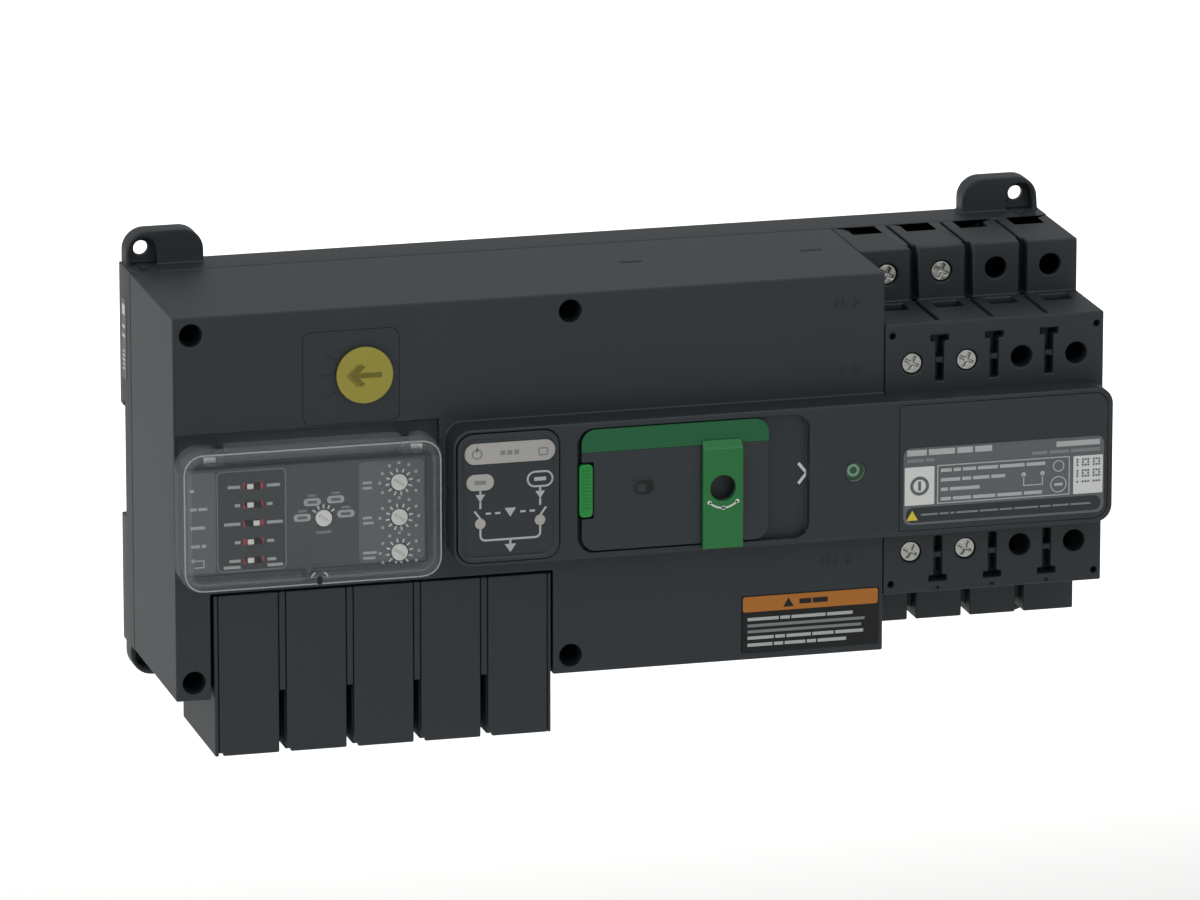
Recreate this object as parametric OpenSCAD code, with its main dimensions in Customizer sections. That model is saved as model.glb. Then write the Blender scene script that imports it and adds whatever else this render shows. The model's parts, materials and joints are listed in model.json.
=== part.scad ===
// Automatic transfer switch: a modular change-over switch for a 35 mm rail or four screws.
// The origin is the centre of the four fixing holes on the back plane.
// +X runs to the pole end, +Z is up and the front faces -Y. All sizes are in millimetres.

/* [Housing] */
// Width of the control part, up to the poles
control_w = 229; // [229:1:280]
// Height of the housing without its ears
body_h = 123; // [118:1:148]
// Depth from the back plane to the main front plane
body_d = 77; // [70:1:93]
// Wall of the moulded shells
wall = 2.5; // [2:0.1:3]
// Depth of the rear shell, up to the parting line
base_d = 16; // [14:0.5:19]
// Distance of each cover screw from the housing's edges
screw_inset = 5.8; // [5.2:0.1:6.5]
// Diameter of a cover screw's well
well_d = 7.2; // [6:0.1:7.6]
// Depth of a cover screw's well
well_depth = 30; // [24:1:36]

/* [Nose] */
// How far the nose stands out of the front plane
nose_out = 11; // [9:0.5:13]
// Height of the nose, which passes a 45 mm cut-out
nose_h = 44; // [42:0.5:44.5]
// Height of the nose's centre above the housing's centre
nose_z = 0.5; // [-2:0.1:2]
// Radius of the nose's corners
nose_r = 5.5; // [3:0.5:7]
// Gap between the nose and the clear cover
nose_gap = 3; // [1:0.5:6]

/* [Poles] */
// Distance between two poles
pole_pitch = 18; // [17.5:0.1:21.6]
// Number of pole bays
pole_count = 4; // [3:1:4]
// Number of bays that hold a switching pole
fitted = 2; // [1:1:3]
// How far the upper terminal row stands back
step_back = 28.5; // [24:0.5:30]
// Height of the upper terminal row above the shelf
step_up = 17; // [15:0.5:19]
// Height of the recess under the load row
step_down = 18; // [15:0.5:20]
// Diameter of a terminal screw's opening
port_d = 7; // [6.2:0.1:7.6]
// Drop of the first supply's screws below the shelf
si_drop = 13.1; // [12:0.1:14]
// Drop of the second supply's screws below the top
sii_drop = 8.1; // [7:0.1:9]
// Rise of the load screws above the lower recess
load_rise = 13.5; // [12:0.1:14]
// Length of a cable entry along X
entry_w = 9; // [8:0.1:10]
// Depth of a cable entry along Y
entry_d = 8; // [7:0.1:9]

/* [Mounting] */
// Distance of a fixing hole from the housing's side
ear_inset = 6.5; // [6:0.5:8]
// Height of a fixing hole above the housing's edge
ear_rise = 4.5; // [4:0.5:6]
// Diameter of a fixing hole, for an M4 screw
ear_hole_d = 4.8; // [4.2:0.1:5.3]
// Width of a fixing ear
ear_w = 25; // [20:0.5:28]
// Thickness of a fixing ear
ear_t = 7.5; // [6:0.5:9]
// Height of the rail channel
rail_h = 35.5; // [35.3:0.1:36]
// Depth of the rail channel
rail_d = 5.8; // [5:0.1:6.5]
// Height of the rail channel's centre
rail_z = -2.4; // [-4:0.1:2]
// Distance between the two rail clips
clip_pitch = 160; // [120:5:190]
// Travel of a rail clip
clip_travel = 3; // [2:0.1:4]

/* [Clear cover and settings] */
// Width of the clear cover
lid_w = 83.5; // [78:0.5:90]
// Height of the clear cover
lid_h = 45.5; // [44:0.5:47]
// How far the clear cover stands out
lid_out = 10; // [8:0.5:11]
// Wall of the clear cover
lid_wall = 1.6; // [1.2:0.1:2]
// Travel of a setting switch's knob
dip_travel = 1.9; // [1.2:0.1:2]
// Distance between two setting switches
dip_pitch = 5.94; // [5:0.02:6.2]
// Diameter of a setting dial
dial_d = 5.2; // [4:0.1:6]
// Distance between two setting dials
dial_pitch = 11.3; // [10:0.1:11.6]
// Diameter of the mode selector
selector_d = 18; // [15:0.5:22]

/* [Slider and mechanism] */
// Length of the slider's window
window_w = 75; // [70:0.5:76]
// Height of the slider's window
window_h = 40.2; // [37:0.1:40.4]
// Travel of the slider
slide_travel = 10; // [8:0.5:12]
// Length of the slider's plate
slide_w = 60.5; // [56:0.5:61]
// Height of the green band on the slider
band_h = 7.3; // [5:0.1:9]
// Width of the lock tab
tab_w = 13; // [12:0.5:15]
// Diameter of the handle's hole in the lock tab
key_d = 8.3; // [7.9:0.1:9]
// Travel of the lock tab
tab_travel = 7; // [5:0.5:7.5]
// Diameter of the drive shaft
drive_d = 7.5; // [7:0.1:8]
// Diameter of the position window
lens_d = 6.8; // [6:0.1:8]
// Radius at which the position marks stand on their wheel
mark_r = 7.1; // [6.5:0.1:7.4]
// Turn of the main shaft from off to a supply, in degrees
throw_deg = 30; // [24:1:32]

/* [Accessory terminals] */
// Number of plug-in terminal covers
acc_count = 5; // [4:1:5]
// Distance between two covers
acc_pitch = 21.6; // [20:0.1:22]
// Width of a cover
acc_w = 19.2; // [17:0.1:19.6]
// Height of a cover
acc_h = 52; // [50:0.5:54]
// How far the terminal block hangs below the housing
acc_drop = 18.7; // [15:0.1:20]
// Depth of the terminal block
acc_d = 46; // [40:1:50]

/* [Hidden] */

poles_w = pole_pitch * pole_count;
body_w = control_w + poles_w;
e = 0.01;            // overlap of a cut past a face
gap = 0.3;           // clearance of a part that moves past another
seat = 0.15;         // clearance of a part that sits still in another
run = 0.05;          // radial clearance of a shaft in its bore
fine = 48;           // facets of a round face
left = -body_w / 2;
right = body_w / 2;
top = body_h / 2;
bottom = -body_h / 2;
front = -body_d;
poles_x = right - poles_w;
nose_front = front - nose_out;
nose_top = nose_z + nose_h / 2;
nose_bottom = nose_z - nose_h / 2;
lid_right = left + lid_w;
nose_x = lid_right + nose_gap;
screw_x2 = left + 126.8;              // second column of cover screws
post_d = well_d + 3.2;
base_post_d = 2 * (screw_inset - wall - gap);
well_end = front + well_depth;

shelf_z = top - step_up;
sii_front = front + step_back;
load_floor = bottom + step_down;
load_bottom = bottom + 0.8;
si_z = shelf_z - si_drop;
sii_z = top - sii_drop;
load_z = load_floor + load_rise;
si_y = front + 22.2;                  // centre of the front cable entries
sii_y = -21.4;                        // centre of the rear cable entries
cage = 1.3;                           // wall of a terminal's clamp
cage_h = 13;

ear_out = 11;                         // how far an ear stands above the housing
pocket_r = 4.3;                       // screw-head pocket around a fixing hole
ear_floor = 3;                        // web under a screw head
ear_x = (body_w - ear_w) / 2 - 0.7;
ear_pitch_x = body_w - 2 * ear_inset;
ear_pitch_z = body_h + 2 * ear_rise;

panel_x0 = left + 3;
panel_x1 = lid_right - 3;
lid_z = nose_z - 2.3;
lid_top = lid_z + lid_h / 2;
lid_bottom = lid_z - lid_h / 2;
lid_r = 7;
lug_d = 4.4;
pin_z = lid_top - lid_wall - lug_d / 2 - 0.5;
pin_y = front - 3.2;
pin_d = 2;
eye_w = 3;                            // length of one hinge eye
lug_w = 3;                            // length of one hinge lug
pin_x = [left + 10.5, lid_right - 7.4];
trough = 3;                           // depth of the hinge trough
trough_up = 2.8;                      // the trough's height above the cover
trough_z = pin_z - 4.2;               // lower edge of the trough

dip_x = left + 25.15;
dip_z = 6.4;
dip_red = [6.4, 2.4];                 // red face of a setting switch
knob = [2, 1.8];
dial_x = lid_right - 11.8;
dial_z = 4.5;
coarse_x = left + 47.5;               // the dial at the panel's middle
coarse_z = -5.4;
board_y = front + 9;
dial_at = [[dial_x, dial_z], [dial_x, dial_z - dial_pitch], [dial_x, dial_z - 2 * dial_pitch],
           [coarse_x, coarse_z]];

selector_x = left + 60.6;
selector_z = 39.9;
bezel = [31, 30];
bezel_x = selector_x - 4.1;
bezel_z = selector_z - 0.5;

mimic_x = nose_x + 17.4;
mimic = [32.8, nose_h - 2.5];
bar_z = nose_h / 2 - 7.8;             // the light bar, from the nose's centre
mark_x = mimic_x + 0.6;               // centre of the lights and windows
window_x = nose_x + 39.8 + window_w / 2;
window_z = nose_z;
window_r = 5;
slide_gap = 0.5;                      // gap all round the slider's plate
slide_h = window_h - 2 * slide_gap;
slide_x0 = window_x - window_w / 2 + 1.2;
skin = 1.2;                           // lip that holds the slider's flange
flange = 1.1;                         // how far the slider's flange stands out
slide_t = 2.4;                        // thickness of the slider with its flange
slide_back = nose_front + slide_t;
slide_floor = slide_back + gap;
floor_t = 2;
key_x = slide_x0 + 45.2;
key_z = window_z - 1.6;
tab_t = 2.2;
tab_z0 = window_z - window_h / 2 - 1.1;
tab_z1 = window_z + slide_h / 2 - band_h + 1.6;
stem = [8, 3.2];
stem_z = key_z - 10;
stem_l = 8.6;
catch_w = 4.8;
catch_h = 17.2;

drive_x = key_x + slide_travel;
drive_z = key_z;
lens_x = nose_x + 129.9;
wheel_x = lens_x;
wheel_rim = 3.5;                      // how far the wheel's disc runs past its marks
wheel_z = nose_bottom + wall + 1.7 + wheel_rim + mark_r;
lens_z = wheel_z + mark_r;
drive_teeth = 46;
wheel_teeth = 18;
pinion_teeth = 12;
mesh_len = norm([wheel_x - drive_x, wheel_z - drive_z]);
mod = 2 * mesh_len / (drive_teeth + wheel_teeth);
mesh_deg = atan2(wheel_z - drive_z, wheel_x - drive_x);
pinion_deg = -115;
pinion_len = mod * (drive_teeth + pinion_teeth) / 2;
pinion_x = drive_x + pinion_len * cos(pinion_deg);
pinion_z = drive_z + pinion_len * sin(pinion_deg);
gear_t = 3.2;
gear_y = front + wall + 1;            // front face of the gear train
frame_y = gear_y + gear_t + 2;        // front face of the mechanism's plate
frame_t = 2;
crank_y = frame_y + frame_t + 1.5;    // front face of the crank arm
crank_t = 3;
crank_r = 14;
crank_pin = 4;
lever_r = 14;
shaft_y = crank_y + crank_t + lever_r + 5;
shaft_x0 = drive_x + crank_r - 4.5;
hex_af = 8;                           // across flats of the main shaft
journal_d = 6;                        // the main shaft's round ends
arm_l = 20;                           // length of a moving contact
tip_t = 4.8;                          // thickness of its tip
strap = 1.6;                          // thickness of the copper
face_y = nose_front + 3;              // front face of the position marks

acc_x0 = left + 13.6;
acc_bottom = bottom - acc_drop;
acc_top = acc_bottom + acc_h;
acc_x1 = acc_x0 + acc_pitch * (acc_count - 1) + acc_w;
acc_side = 1.4;

dark = "#373b3e";
grey = "#3c4042";
green = "#1f9133";
zinc = "#c8c8c4";
copper = "#b9733f";

function pole_x(k) = poles_x + pole_pitch * (k + 0.5);
// Left face of a hinge lug, which stands on the inner side of its eye.
function lug_x(i) = pin_x[i] + (i == 0 ? eye_w / 2 + gap : -eye_w / 2 - gap - lug_w);

// A round-cornered outline about the origin.
module rrect(w, h, r) {
    square([w - 2 * r, h], center = true);
    square([w, h - 2 * r], center = true);
    for (sx = [-1, 1])
        for (sz = [-1, 1])
            translate([sx * (w / 2 - r), sz * (h / 2 - r)]) circle(r, $fn = fine);
}

// Stands a flat outline up in the XZ plane, from y0 back to y1.
module stand(y0, y1) {
    translate([0, y1, 0]) rotate([90, 0, 0]) linear_extrude(y1 - y0) children();
}

// A block between two corners.
module block(x0, x1, y0, y1, z0, z1) {
    translate([x0, y0, z0]) cube([x1 - x0, y1 - y0, z1 - z0]);
}

// A round-cornered plate in the XZ plane, about (x, z).
module plate(x, z, w, h, r, y0, y1) {
    translate([x, 0, z]) stand(y0, y1) rrect(w, h, r);
}

// A plate with round corners on the right and square ones on the left.
module tag(x, z, w, h, r, y0, y1) {
    plate(x, z, w, h, r, y0, y1);
    block(x - w / 2, x, y0, y1, z - h / 2, z + h / 2);
}

// A round bar along Y, from y0 back to y1.
module rod(x, z, d, y0, y1) {
    translate([x, y1, z]) rotate([90, 0, 0]) cylinder(d = d, h = y1 - y0, $fn = fine);
}

// A round bar along X.
module bar(x0, x1, y, z, d) {
    translate([x0, y, z]) rotate([0, 90, 0]) cylinder(d = d, h = x1 - x0, $fn = fine);
}

// A spur gear's outline, with a tooth centred on +X.
module teeth(n, backlash = 0.12) {
    r = mod * n / 2;
    half = mod * PI / 4 - backlash;
    circle(r - 1.2 * mod, $fn = 96);
    for (i = [0:n - 1])
        rotate(i * 360 / n)
            polygon([[r - 1.5 * mod, -half * 1.5], [r, -half], [r + 0.85 * mod, -half * 0.45],
                     [r + 0.85 * mod, half * 0.45], [r, half], [r - 1.5 * mod, half * 1.5]]);
}

// ---------------------------------------------------------------- shells

module ear(sx, sz) {
    hole_z = sz * ear_pitch_z / 2;
    difference() {
        union() {
            plate(sx * ear_x, sz * (top + ear_out / 2 - 4), ear_w, ear_out + 8, 7, -ear_t, 0);
            block(sx * ear_x - ear_w / 2, sx * ear_x + ear_w / 2, -ear_t, 0,
                  min(sz * (top - 4), sz * top), max(sz * (top - 4), sz * top));
        }
        rod(sx * ear_pitch_x / 2, hole_z, 2 * pocket_r, -ear_t - e, -ear_floor);
        block(sx * ear_pitch_x / 2 - pocket_r, sx * ear_pitch_x / 2 + pocket_r, -ear_t - e, -ear_floor,
              min(hole_z, sz * top), max(hole_z, sz * top));
    }
}

module clip_pocket(x) {
    z0 = bottom;
    z1 = rail_z - rail_h / 2;
    block(x - 6.3, x + 6.3, -4, e, z0 - e, z1 + e);
    block(x - 8.3, x + 8.3, -rail_d, -3.6, z0 + 8, z1 + e);
}

module rear_housing() {
    z1 = rail_z + rail_h / 2;
    z0 = rail_z - rail_h / 2;
    color(dark) difference() {
        union() {
            difference() {
                block(left, right, -base_d, 0, bottom, top);
                block(left + wall, right - wall, -base_d - e, -3, bottom + wall, top - wall);
            }
            // thick zone round the rail channel and its clips
            block(left, right, -rail_d - wall, 0, z0 - 4, z1 + 4);
            for (sx = [-1, 1])
                block(sx * clip_pitch / 2 - 11, sx * clip_pitch / 2 + 11, -rail_d - wall, 0, bottom, z0);
            // posts for the cover screws
            for (x = [left + screw_inset, screw_x2])
                for (z = [bottom + screw_inset, top - screw_inset])
                    rod(x, z, base_post_d, well_end + 3 + seat, -1);
            for (sx = [-1, 1])
                for (sz = [-1, 1]) ear(sx, sz);
        }
        block(left - e, right + e, -rail_d, e, z0, z1);
        block(left - e, right + e, -rail_d, -rail_d + 1.5, z1 - e, z1 + 1.5);
        for (sx = [-1, 1]) clip_pocket(sx * clip_pitch / 2);
        for (sx = [-1, 1])
            for (sz = [-1, 1]) {
                rod(sx * ear_pitch_x / 2, sz * ear_pitch_z / 2, ear_hole_d, -ear_t - 1, 1);
                rod(sx * ear_pitch_x / 2, sz * ear_pitch_z / 2, 2 * pocket_r + 2.2, -base_d - e, -ear_t);
            }
        // pilot holes for the cover screws
        for (x = [left + screw_inset, screw_x2])
            for (z = [bottom + screw_inset, top - screw_inset]) rod(x, z, 2.5, well_end, -8);
    }
}

module nose_outline(inset) {
    w = right - nose_x - 2 * inset;
    translate([(right + nose_x) / 2, nose_z]) rrect(w, nose_h - 2 * inset, nose_r - inset);
}

module front_cover() {
    slot_z = window_h / 2 + 0.9;
    color(dark) difference() {
        union() {
            difference() {
                block(left, poles_x - seat, front, -base_d - seat, bottom, top);
                block(left + wall, poles_x - seat - wall, front + wall, -base_d, bottom + wall, top - wall);
            }
            stand(nose_front, front + wall) nose_outline(0);
            // posts round the cover screws' wells
            for (x = [left + screw_inset, screw_x2])
                for (z = [bottom + screw_inset, top - screw_inset]) rod(x, z, post_d, front + 1, well_end + 3);
            // thick zone behind the hinge trough
            block(left + 1, lid_right + 2, front + 1, front + trough + wall, trough_z - 1,
                  lid_top + trough_up + 2);
            // collar behind the selector
            rod(selector_x, selector_z, 12, front + 1, front + wall + 4);
        }
        // hollow of the nose
        difference() {
            stand(nose_front + wall, front + wall + e) nose_outline(wall);
            // the slider's tray
            block(window_x - window_w / 2 - 2, window_x + window_w / 2 + 2, nose_front, slide_floor + floor_t,
                  window_z - slot_z - 1, window_z + slot_z + 1);
        }
        // the poles' own fronts close the nose from behind
        block(poles_x - seat, right + e, front, front + wall + 1, bottom, top);
        for (x = [left + screw_inset, screw_x2])
            for (z = [bottom + screw_inset, top - screw_inset]) {
                rod(x, z, well_d, front - e, well_end);
                rod(x, z, 3.4, well_end - 1, well_end + 4);
            }
        // accessory terminals
        block(acc_x0 - acc_side - 1, acc_x1 + acc_side + 0.4, front - e, front + acc_d + 1, bottom - e,
              acc_top + 0.6);
        // settings panel, and the hinge trough above it
        block(panel_x0, panel_x1, front - e, front + wall + trough, lid_bottom + 3, trough_z);
        block(left + 1, lid_right + 1, front - e, front + trough, trough_z - e, lid_top + trough_up);
        // selector, mimic panel, position window
        plate(bezel_x, bezel_z, bezel[0], bezel[1], 3, front - e, front + 0.5);
        rod(selector_x, selector_z, 6 + 2 * run, front - e, front + 9);
        plate(mimic_x, nose_z, mimic[0], mimic[1], 5, nose_front - e, nose_front + wall + e);
        rod(lens_x, lens_z, lens_d, nose_front - e, nose_front + wall + 1);
        // slider's window, groove, shaft hole and slot for the lock tab's stem
        plate(window_x, window_z, window_w, window_h, window_r, nose_front - e, slide_floor);
        block(window_x - window_w / 2 + 0.4, window_x + window_w / 2 - 0.4, nose_front + skin, slide_floor,
              window_z - slot_z, window_z + slot_z);
        rod(drive_x, drive_z, drive_d + 2 * gap, slide_floor - e, slide_floor + floor_t + e);
        block(key_x - stem[0] / 2 - gap, key_x + stem[0] / 2 + slide_travel + gap, slide_floor - e,
              slide_floor + floor_t + e, stem_z - stem[1] / 2 - gap, stem_z + stem[1] / 2 + gap);
        // pocket behind the slider's catch
        block(slide_x0 - 1.2, slide_x0 - 1 + catch_w, nose_front - e, slide_floor + 0.8,
              window_z - catch_h / 2 - 0.5, window_z + catch_h / 2 + 0.5);
        // recesses for the nameplate and the hazard label
        tag((poles_x + right) / 2, nose_z, poles_w - 3.2, nose_h - 2.8, 4.5, nose_front - e,
            nose_front + 0.8);
        plate(poles_x - 24, bottom + 11.6, 45.4, 19, 1, front - e, front + 0.3);
        // latch slots on the top, and the passage of the main shaft
        for (x = [poles_x - 73.5, poles_x - 14.5]) block(x - 3.4, x + 3.4, -43, -41.5, top - wall - e, top + e);
        bar(poles_x - wall - 1, poles_x + 1, shaft_y, drive_z, 16);
        // groove in the side wall, open to the back, that clears the indicator's gear
        rod(wheel_x, wheel_z, mod * (wheel_teeth + 1.7) + 2 * gap, gear_y - gap, -base_d);
    }
    color(dark) hinge_lugs();
}

// The two lugs in the trough that hold the cover's hinge pins.
module hinge_lugs() {
    for (i = [0, 1])
        difference() {
            x = lug_x(i);
            union() {
                bar(x, x + lug_w, pin_y, pin_z, lug_d);
                block(x, x + lug_w, pin_y, front + trough + 0.5, pin_z - lug_d / 2, pin_z + lug_d / 2);
            }
            bar(x - 1, x + lug_w + 1, pin_y, pin_z, pin_d);
        }
}

// The pole section's outline, looking along +X: y runs right and z up.
module pole_outline(inset) {
    polygon([[-base_d - seat + inset, top - inset], [sii_front + inset, top - inset],
             [sii_front + inset, shelf_z - inset], [front + inset, shelf_z - inset],
             [front + inset, load_floor + inset], [sii_front + inset, load_floor + inset],
             [sii_front + inset, load_bottom + inset], [-base_d - seat + inset, load_bottom + inset]]);
}

// Extrudes a YZ outline along X, from x0 to x1.
module along_x(x0, x1) {
    translate([x0, 0, 0]) rotate([90, 0, 90]) linear_extrude(x1 - x0) children();
}

module t_slot(x, z_bar, z_end) {
    up = z_bar > z_end ? -1 : 1;
    z_in = z_bar + up * 2;
    block(x - 3, x + 3, front - e, front + 6, min(z_bar, z_in), max(z_bar, z_in));
    block(x - 1.35, x + 1.35, front - e, front + 1.2, min(z_bar, z_end), max(z_bar, z_end));
    mid = (z_in + z_end) / 2;
    block(x - 1.35, x + 1.35, front, front + 6, min(z_in, mid - up), max(z_in, mid - up));
    block(x - 1.35, x + 1.35, front, front + 6, min(mid + up, z_end), max(mid + up, z_end));
}

module pole_housing() {
    rib = 2;
    color("#3a3e40") difference() {
        along_x(poles_x, right) pole_outline(0);
        // one open bay for each pole
        for (k = [0:pole_count - 1])
            intersection() {
                along_x(pole_x(k) - pole_pitch / 2 + rib, pole_x(k) + pole_pitch / 2 - rib)
                    polygon([[-base_d + 2, top - 2.5], [sii_front + 2.5, top - 2.5],
                             [sii_front + 2.5, shelf_z - 2.5], [front + 6.5, shelf_z - 2.5],
                             [front + 6.5, load_floor + 2.5], [sii_front + 2.5, load_floor + 2.5],
                             [sii_front + 2.5, load_bottom + 2.5], [-base_d + 2, load_bottom + 2.5]]);
                block(poles_x, right, front, -base_d + 2, bottom, top);
            }
        for (k = [0:pole_count - 1]) {
            x = pole_x(k);
            rod(x, si_z, port_d, front - e, front + 8);
            rod(x, load_z, port_d, front - e, front + 8);
            rod(x, sii_z, port_d, sii_front - e, sii_front + 4);
            block(x - entry_w / 2, x + entry_w / 2, si_y - entry_d / 2, si_y + entry_d / 2, shelf_z - 3,
                  shelf_z + e);
            block(x - entry_w / 2, x + entry_w / 2, si_y - entry_d / 2, si_y + entry_d / 2, load_floor - e,
                  load_floor + 3);
            block(x - entry_w / 2, x + entry_w / 2, sii_y - entry_d / 2 - 0.5, sii_y + entry_d / 2 + 0.5, top - 3,
                  top + e);
        }
        for (k = [1:pole_count - 1]) {
            x = poles_x + pole_pitch * k;
            // grooves between the columns: upper front, top, shelf and lower front
            block(x - 1.4, x + 1.4, sii_front - e, sii_front + 5, shelf_z, top + e);
            block(x - 0.7, x + 0.7, sii_front, -base_d, top - 2, top + e);
            block(x - 0.7, x + 0.7, front + 3, sii_front + e, shelf_z - 1.5, shelf_z + e);
            block(x - 1.4, x + 1.4, sii_front - e, sii_front + 5, load_bottom - e, load_floor);
            block(x - 1.4, x + 1.4, sii_front, -base_d - 2, load_bottom - e, load_bottom + 3);
            t_slot(x, shelf_z - 4.3, shelf_z - 19.2);
            t_slot(x, load_floor + 3.4, load_floor + 18.2);
            rod(x, load_floor + 1.2, 1.2, front - e, front + 1);
        }
        // locating holes at the corners
        for (x = [poles_x + 2.5, right - 2.3])
            for (z = [shelf_z - 3.9, load_floor + 3.3]) rod(x, z, 2, front - e, front + 4);
        // passage of the main shaft through the ribs, and its bearing
        bar(poles_x - 1, poles_x + pole_pitch * fitted - rib, shaft_y, drive_z, 13);
        bar(poles_x + pole_pitch * fitted - rib - 1, poles_x + pole_pitch * fitted + rib + 1, shaft_y, drive_z,
            journal_d + 2 * run);
    }
}

module cover_screws() {
    color(zinc)
        for (x = [left + screw_inset, screw_x2])
            for (z = [bottom + screw_inset, top - screw_inset])
                difference() {
                    union() {
                        rod(x, z, 5.6, well_end - 2.2, well_end);
                        rod(x, z, 2.4, well_end - 1, -9);
                    }
                    block(x - 2, x + 2, well_end - 3, well_end - 1.2, z - 0.4, z + 0.4);
                    block(x - 0.4, x + 0.4, well_end - 3, well_end - 1.2, z - 2, z + 2);
                }
}

module rail_clip(x) {
    z1 = rail_z - rail_h / 2;
    color("#26292b") difference() {
        union() {
            block(x - 6, x + 6, -3.6 - gap, -0.5, bottom - 3, z1 + 1.8);
            block(x - 8, x + 8, -rail_d + gap, -3.6 - gap, bottom + 8 + clip_travel + gap, z1 - 0.5);
        }
        block(x - 3, x + 3, -5, 0, bottom - 1.6, bottom + 0.2);
    }
}

module rail_clip_left() rail_clip(-clip_pitch / 2);
module rail_clip_right() rail_clip(clip_pitch / 2);

// ---------------------------------------------------------------- labels and accessory terminals

module nameplate() {
    color(grey) tag((poles_x + right) / 2, nose_z, poles_w - 3.6, nose_h - 3.2, 4.3, nose_front,
                    nose_front + 0.8);
}

module nameplate_label() {
    color("#6c7072") plate((poles_x + right) / 2, nose_z - 6, poles_w - 6, nose_h - 19, 2.5,
                           nose_front - 0.2, nose_front);
}

module hazard_label() {
    color("#b8702a") plate(poles_x - 24, bottom + 11.6, 44.6, 18.2, 0.8, front, front + 0.3);
}

module side_label() {
    color("#8a8d8f") translate([left - 0.2, -9.5, 25]) cube([0.2, 6, 26]);
}

module accessory_block() {
    x0 = acc_x0 - acc_side;
    x1 = acc_x1 + acc_side - 0.4;
    color("#34383a") difference() {
        block(x0, x1, front, front + acc_d, acc_bottom, acc_top);
        for (i = [0:acc_count - 1]) {
            x = acc_x0 + i * acc_pitch;
            // bay behind each cover, and the gap between two covers
            block(x - seat, x + acc_w + seat, front - e, front + 3.2, acc_bottom - e, acc_top + e);
            block(x + 2, x + acc_w - 2, front + 3, front + 9, acc_bottom + 8, acc_top - 8);
            if (i < acc_count - 1)
                block(x + acc_w, x + acc_pitch, front - e, front + 12, acc_bottom - e, bottom + 1.5);
            // wire holes on the bottom, four for each plug
            for (j = [0:3])
                translate([x + 3.4 + j * (acc_w - 6.8) / 3, front + 22, acc_bottom - e])
                    cylinder(d = 3.2, h = 9, $fn = 24);
        }
        // hollow behind the plugs
        block(x0 + 2, x1 - 2, front + 14, front + acc_d + e, acc_bottom + 12, acc_top - 2);
    }
}

module accessory_cover(i) {
    x = acc_x0 + (i - 1) * acc_pitch;
    color(dark) difference() {
        union() {
            block(x, x + acc_w, front, front + 2.2, acc_bottom, acc_top);
            // snap legs
            for (s = [3, acc_w - 4.5]) block(x + s, x + s + 1.5, front + 2, front + 8, acc_top - 23.8,
                                                 acc_top - 17.8);
        }
        // notched foot
        block(x - e, x + 1.2, front - e, front + 3, acc_bottom - e, acc_bottom + 1.4);
    }
}

// ---------------------------------------------------------------- settings under the clear cover

module settings_panel() {
    color("#55595c") difference() {
        block(panel_x0 + seat, panel_x1 - seat, front + 0.4, front + 2.4, lid_bottom + 3 + seat, trough_z - seat);
        for (i = [0:4])
            block(dip_x - dip_red[0] / 2 - seat, dip_x + dip_red[0] / 2 + seat, front, front + 3,
                  dip_z - i * dip_pitch - dip_red[1] / 2 - seat, dip_z - i * dip_pitch + dip_red[1] / 2 + seat);
        for (p = dial_at) rod(p[0], p[1], dial_d + 2 * gap, front, front + 3);
    }
}

module dip_switches() {
    color("#b02030")
        for (i = [0:4])
            difference() {
                z = dip_z - i * dip_pitch;
                block(dip_x - dip_red[0] / 2, dip_x + dip_red[0] / 2, front + 0.4, board_y, z - dip_red[1] / 2,
                      z + dip_red[1] / 2);
                block(dip_x - (knob[0] + dip_travel) / 2 - gap, dip_x + (knob[0] + dip_travel) / 2 + gap,
                      front, front + 2.2, z - knob[1] / 2 - 0.15, z + knob[1] / 2 + 0.15);
            }
}

// The third knob rests at the right, the others at the left.
module dip_knob(i) {
    z = dip_z - (i - 1) * dip_pitch;
    x = dip_x + (i == 3 ? 1 : -1) * dip_travel / 2;
    color("white") {
        block(x - knob[0] / 2, x + knob[0] / 2, front - 0.2, front + 1.9, z - knob[1] / 2 + 0.1,
              z + knob[1] / 2 - 0.1);
    }
}

module dial_bases() {
    color("#d8d8d4")
        for (p = dial_at)
            difference() {
                block(p[0] - 4.2, p[0] + 4.2, front + wall + 0.1, board_y, p[1] - 4.2, p[1] + 4.2);
                rod(p[0], p[1], dial_d + 2 * gap, front, front + 5);
            }
}

module dial(i) {
    p = dial_at[i - 1];
    color("white") difference() {
        rod(p[0], p[1], dial_d, front - 0.4, front + 4.6);
        translate([p[0], 0, p[1]]) rotate([0, 35, 0]) block(-2, 2, front - 1, front + 0.3, -0.4, 0.4);
    }
}

module lid_body(inset, y_back) {
    hull()
        for (sx = [-1, 1])
            for (sz = [-1, 1])
                translate([left + lid_w / 2 + sx * (lid_w / 2 - lid_r), 0, lid_z + sz * (lid_h / 2 - lid_r)]) {
                    translate([0, y_back, 0]) rotate([90, 0, 0])
                        cylinder(r = lid_r - inset, h = y_back - (front - lid_out + 3), $fn = 32);
                    translate([0, front - lid_out + 4, 0]) rotate([90, 0, 0])
                        cylinder(r = lid_r - 3, h = 4 - inset, $fn = 32);
                }
}

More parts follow.
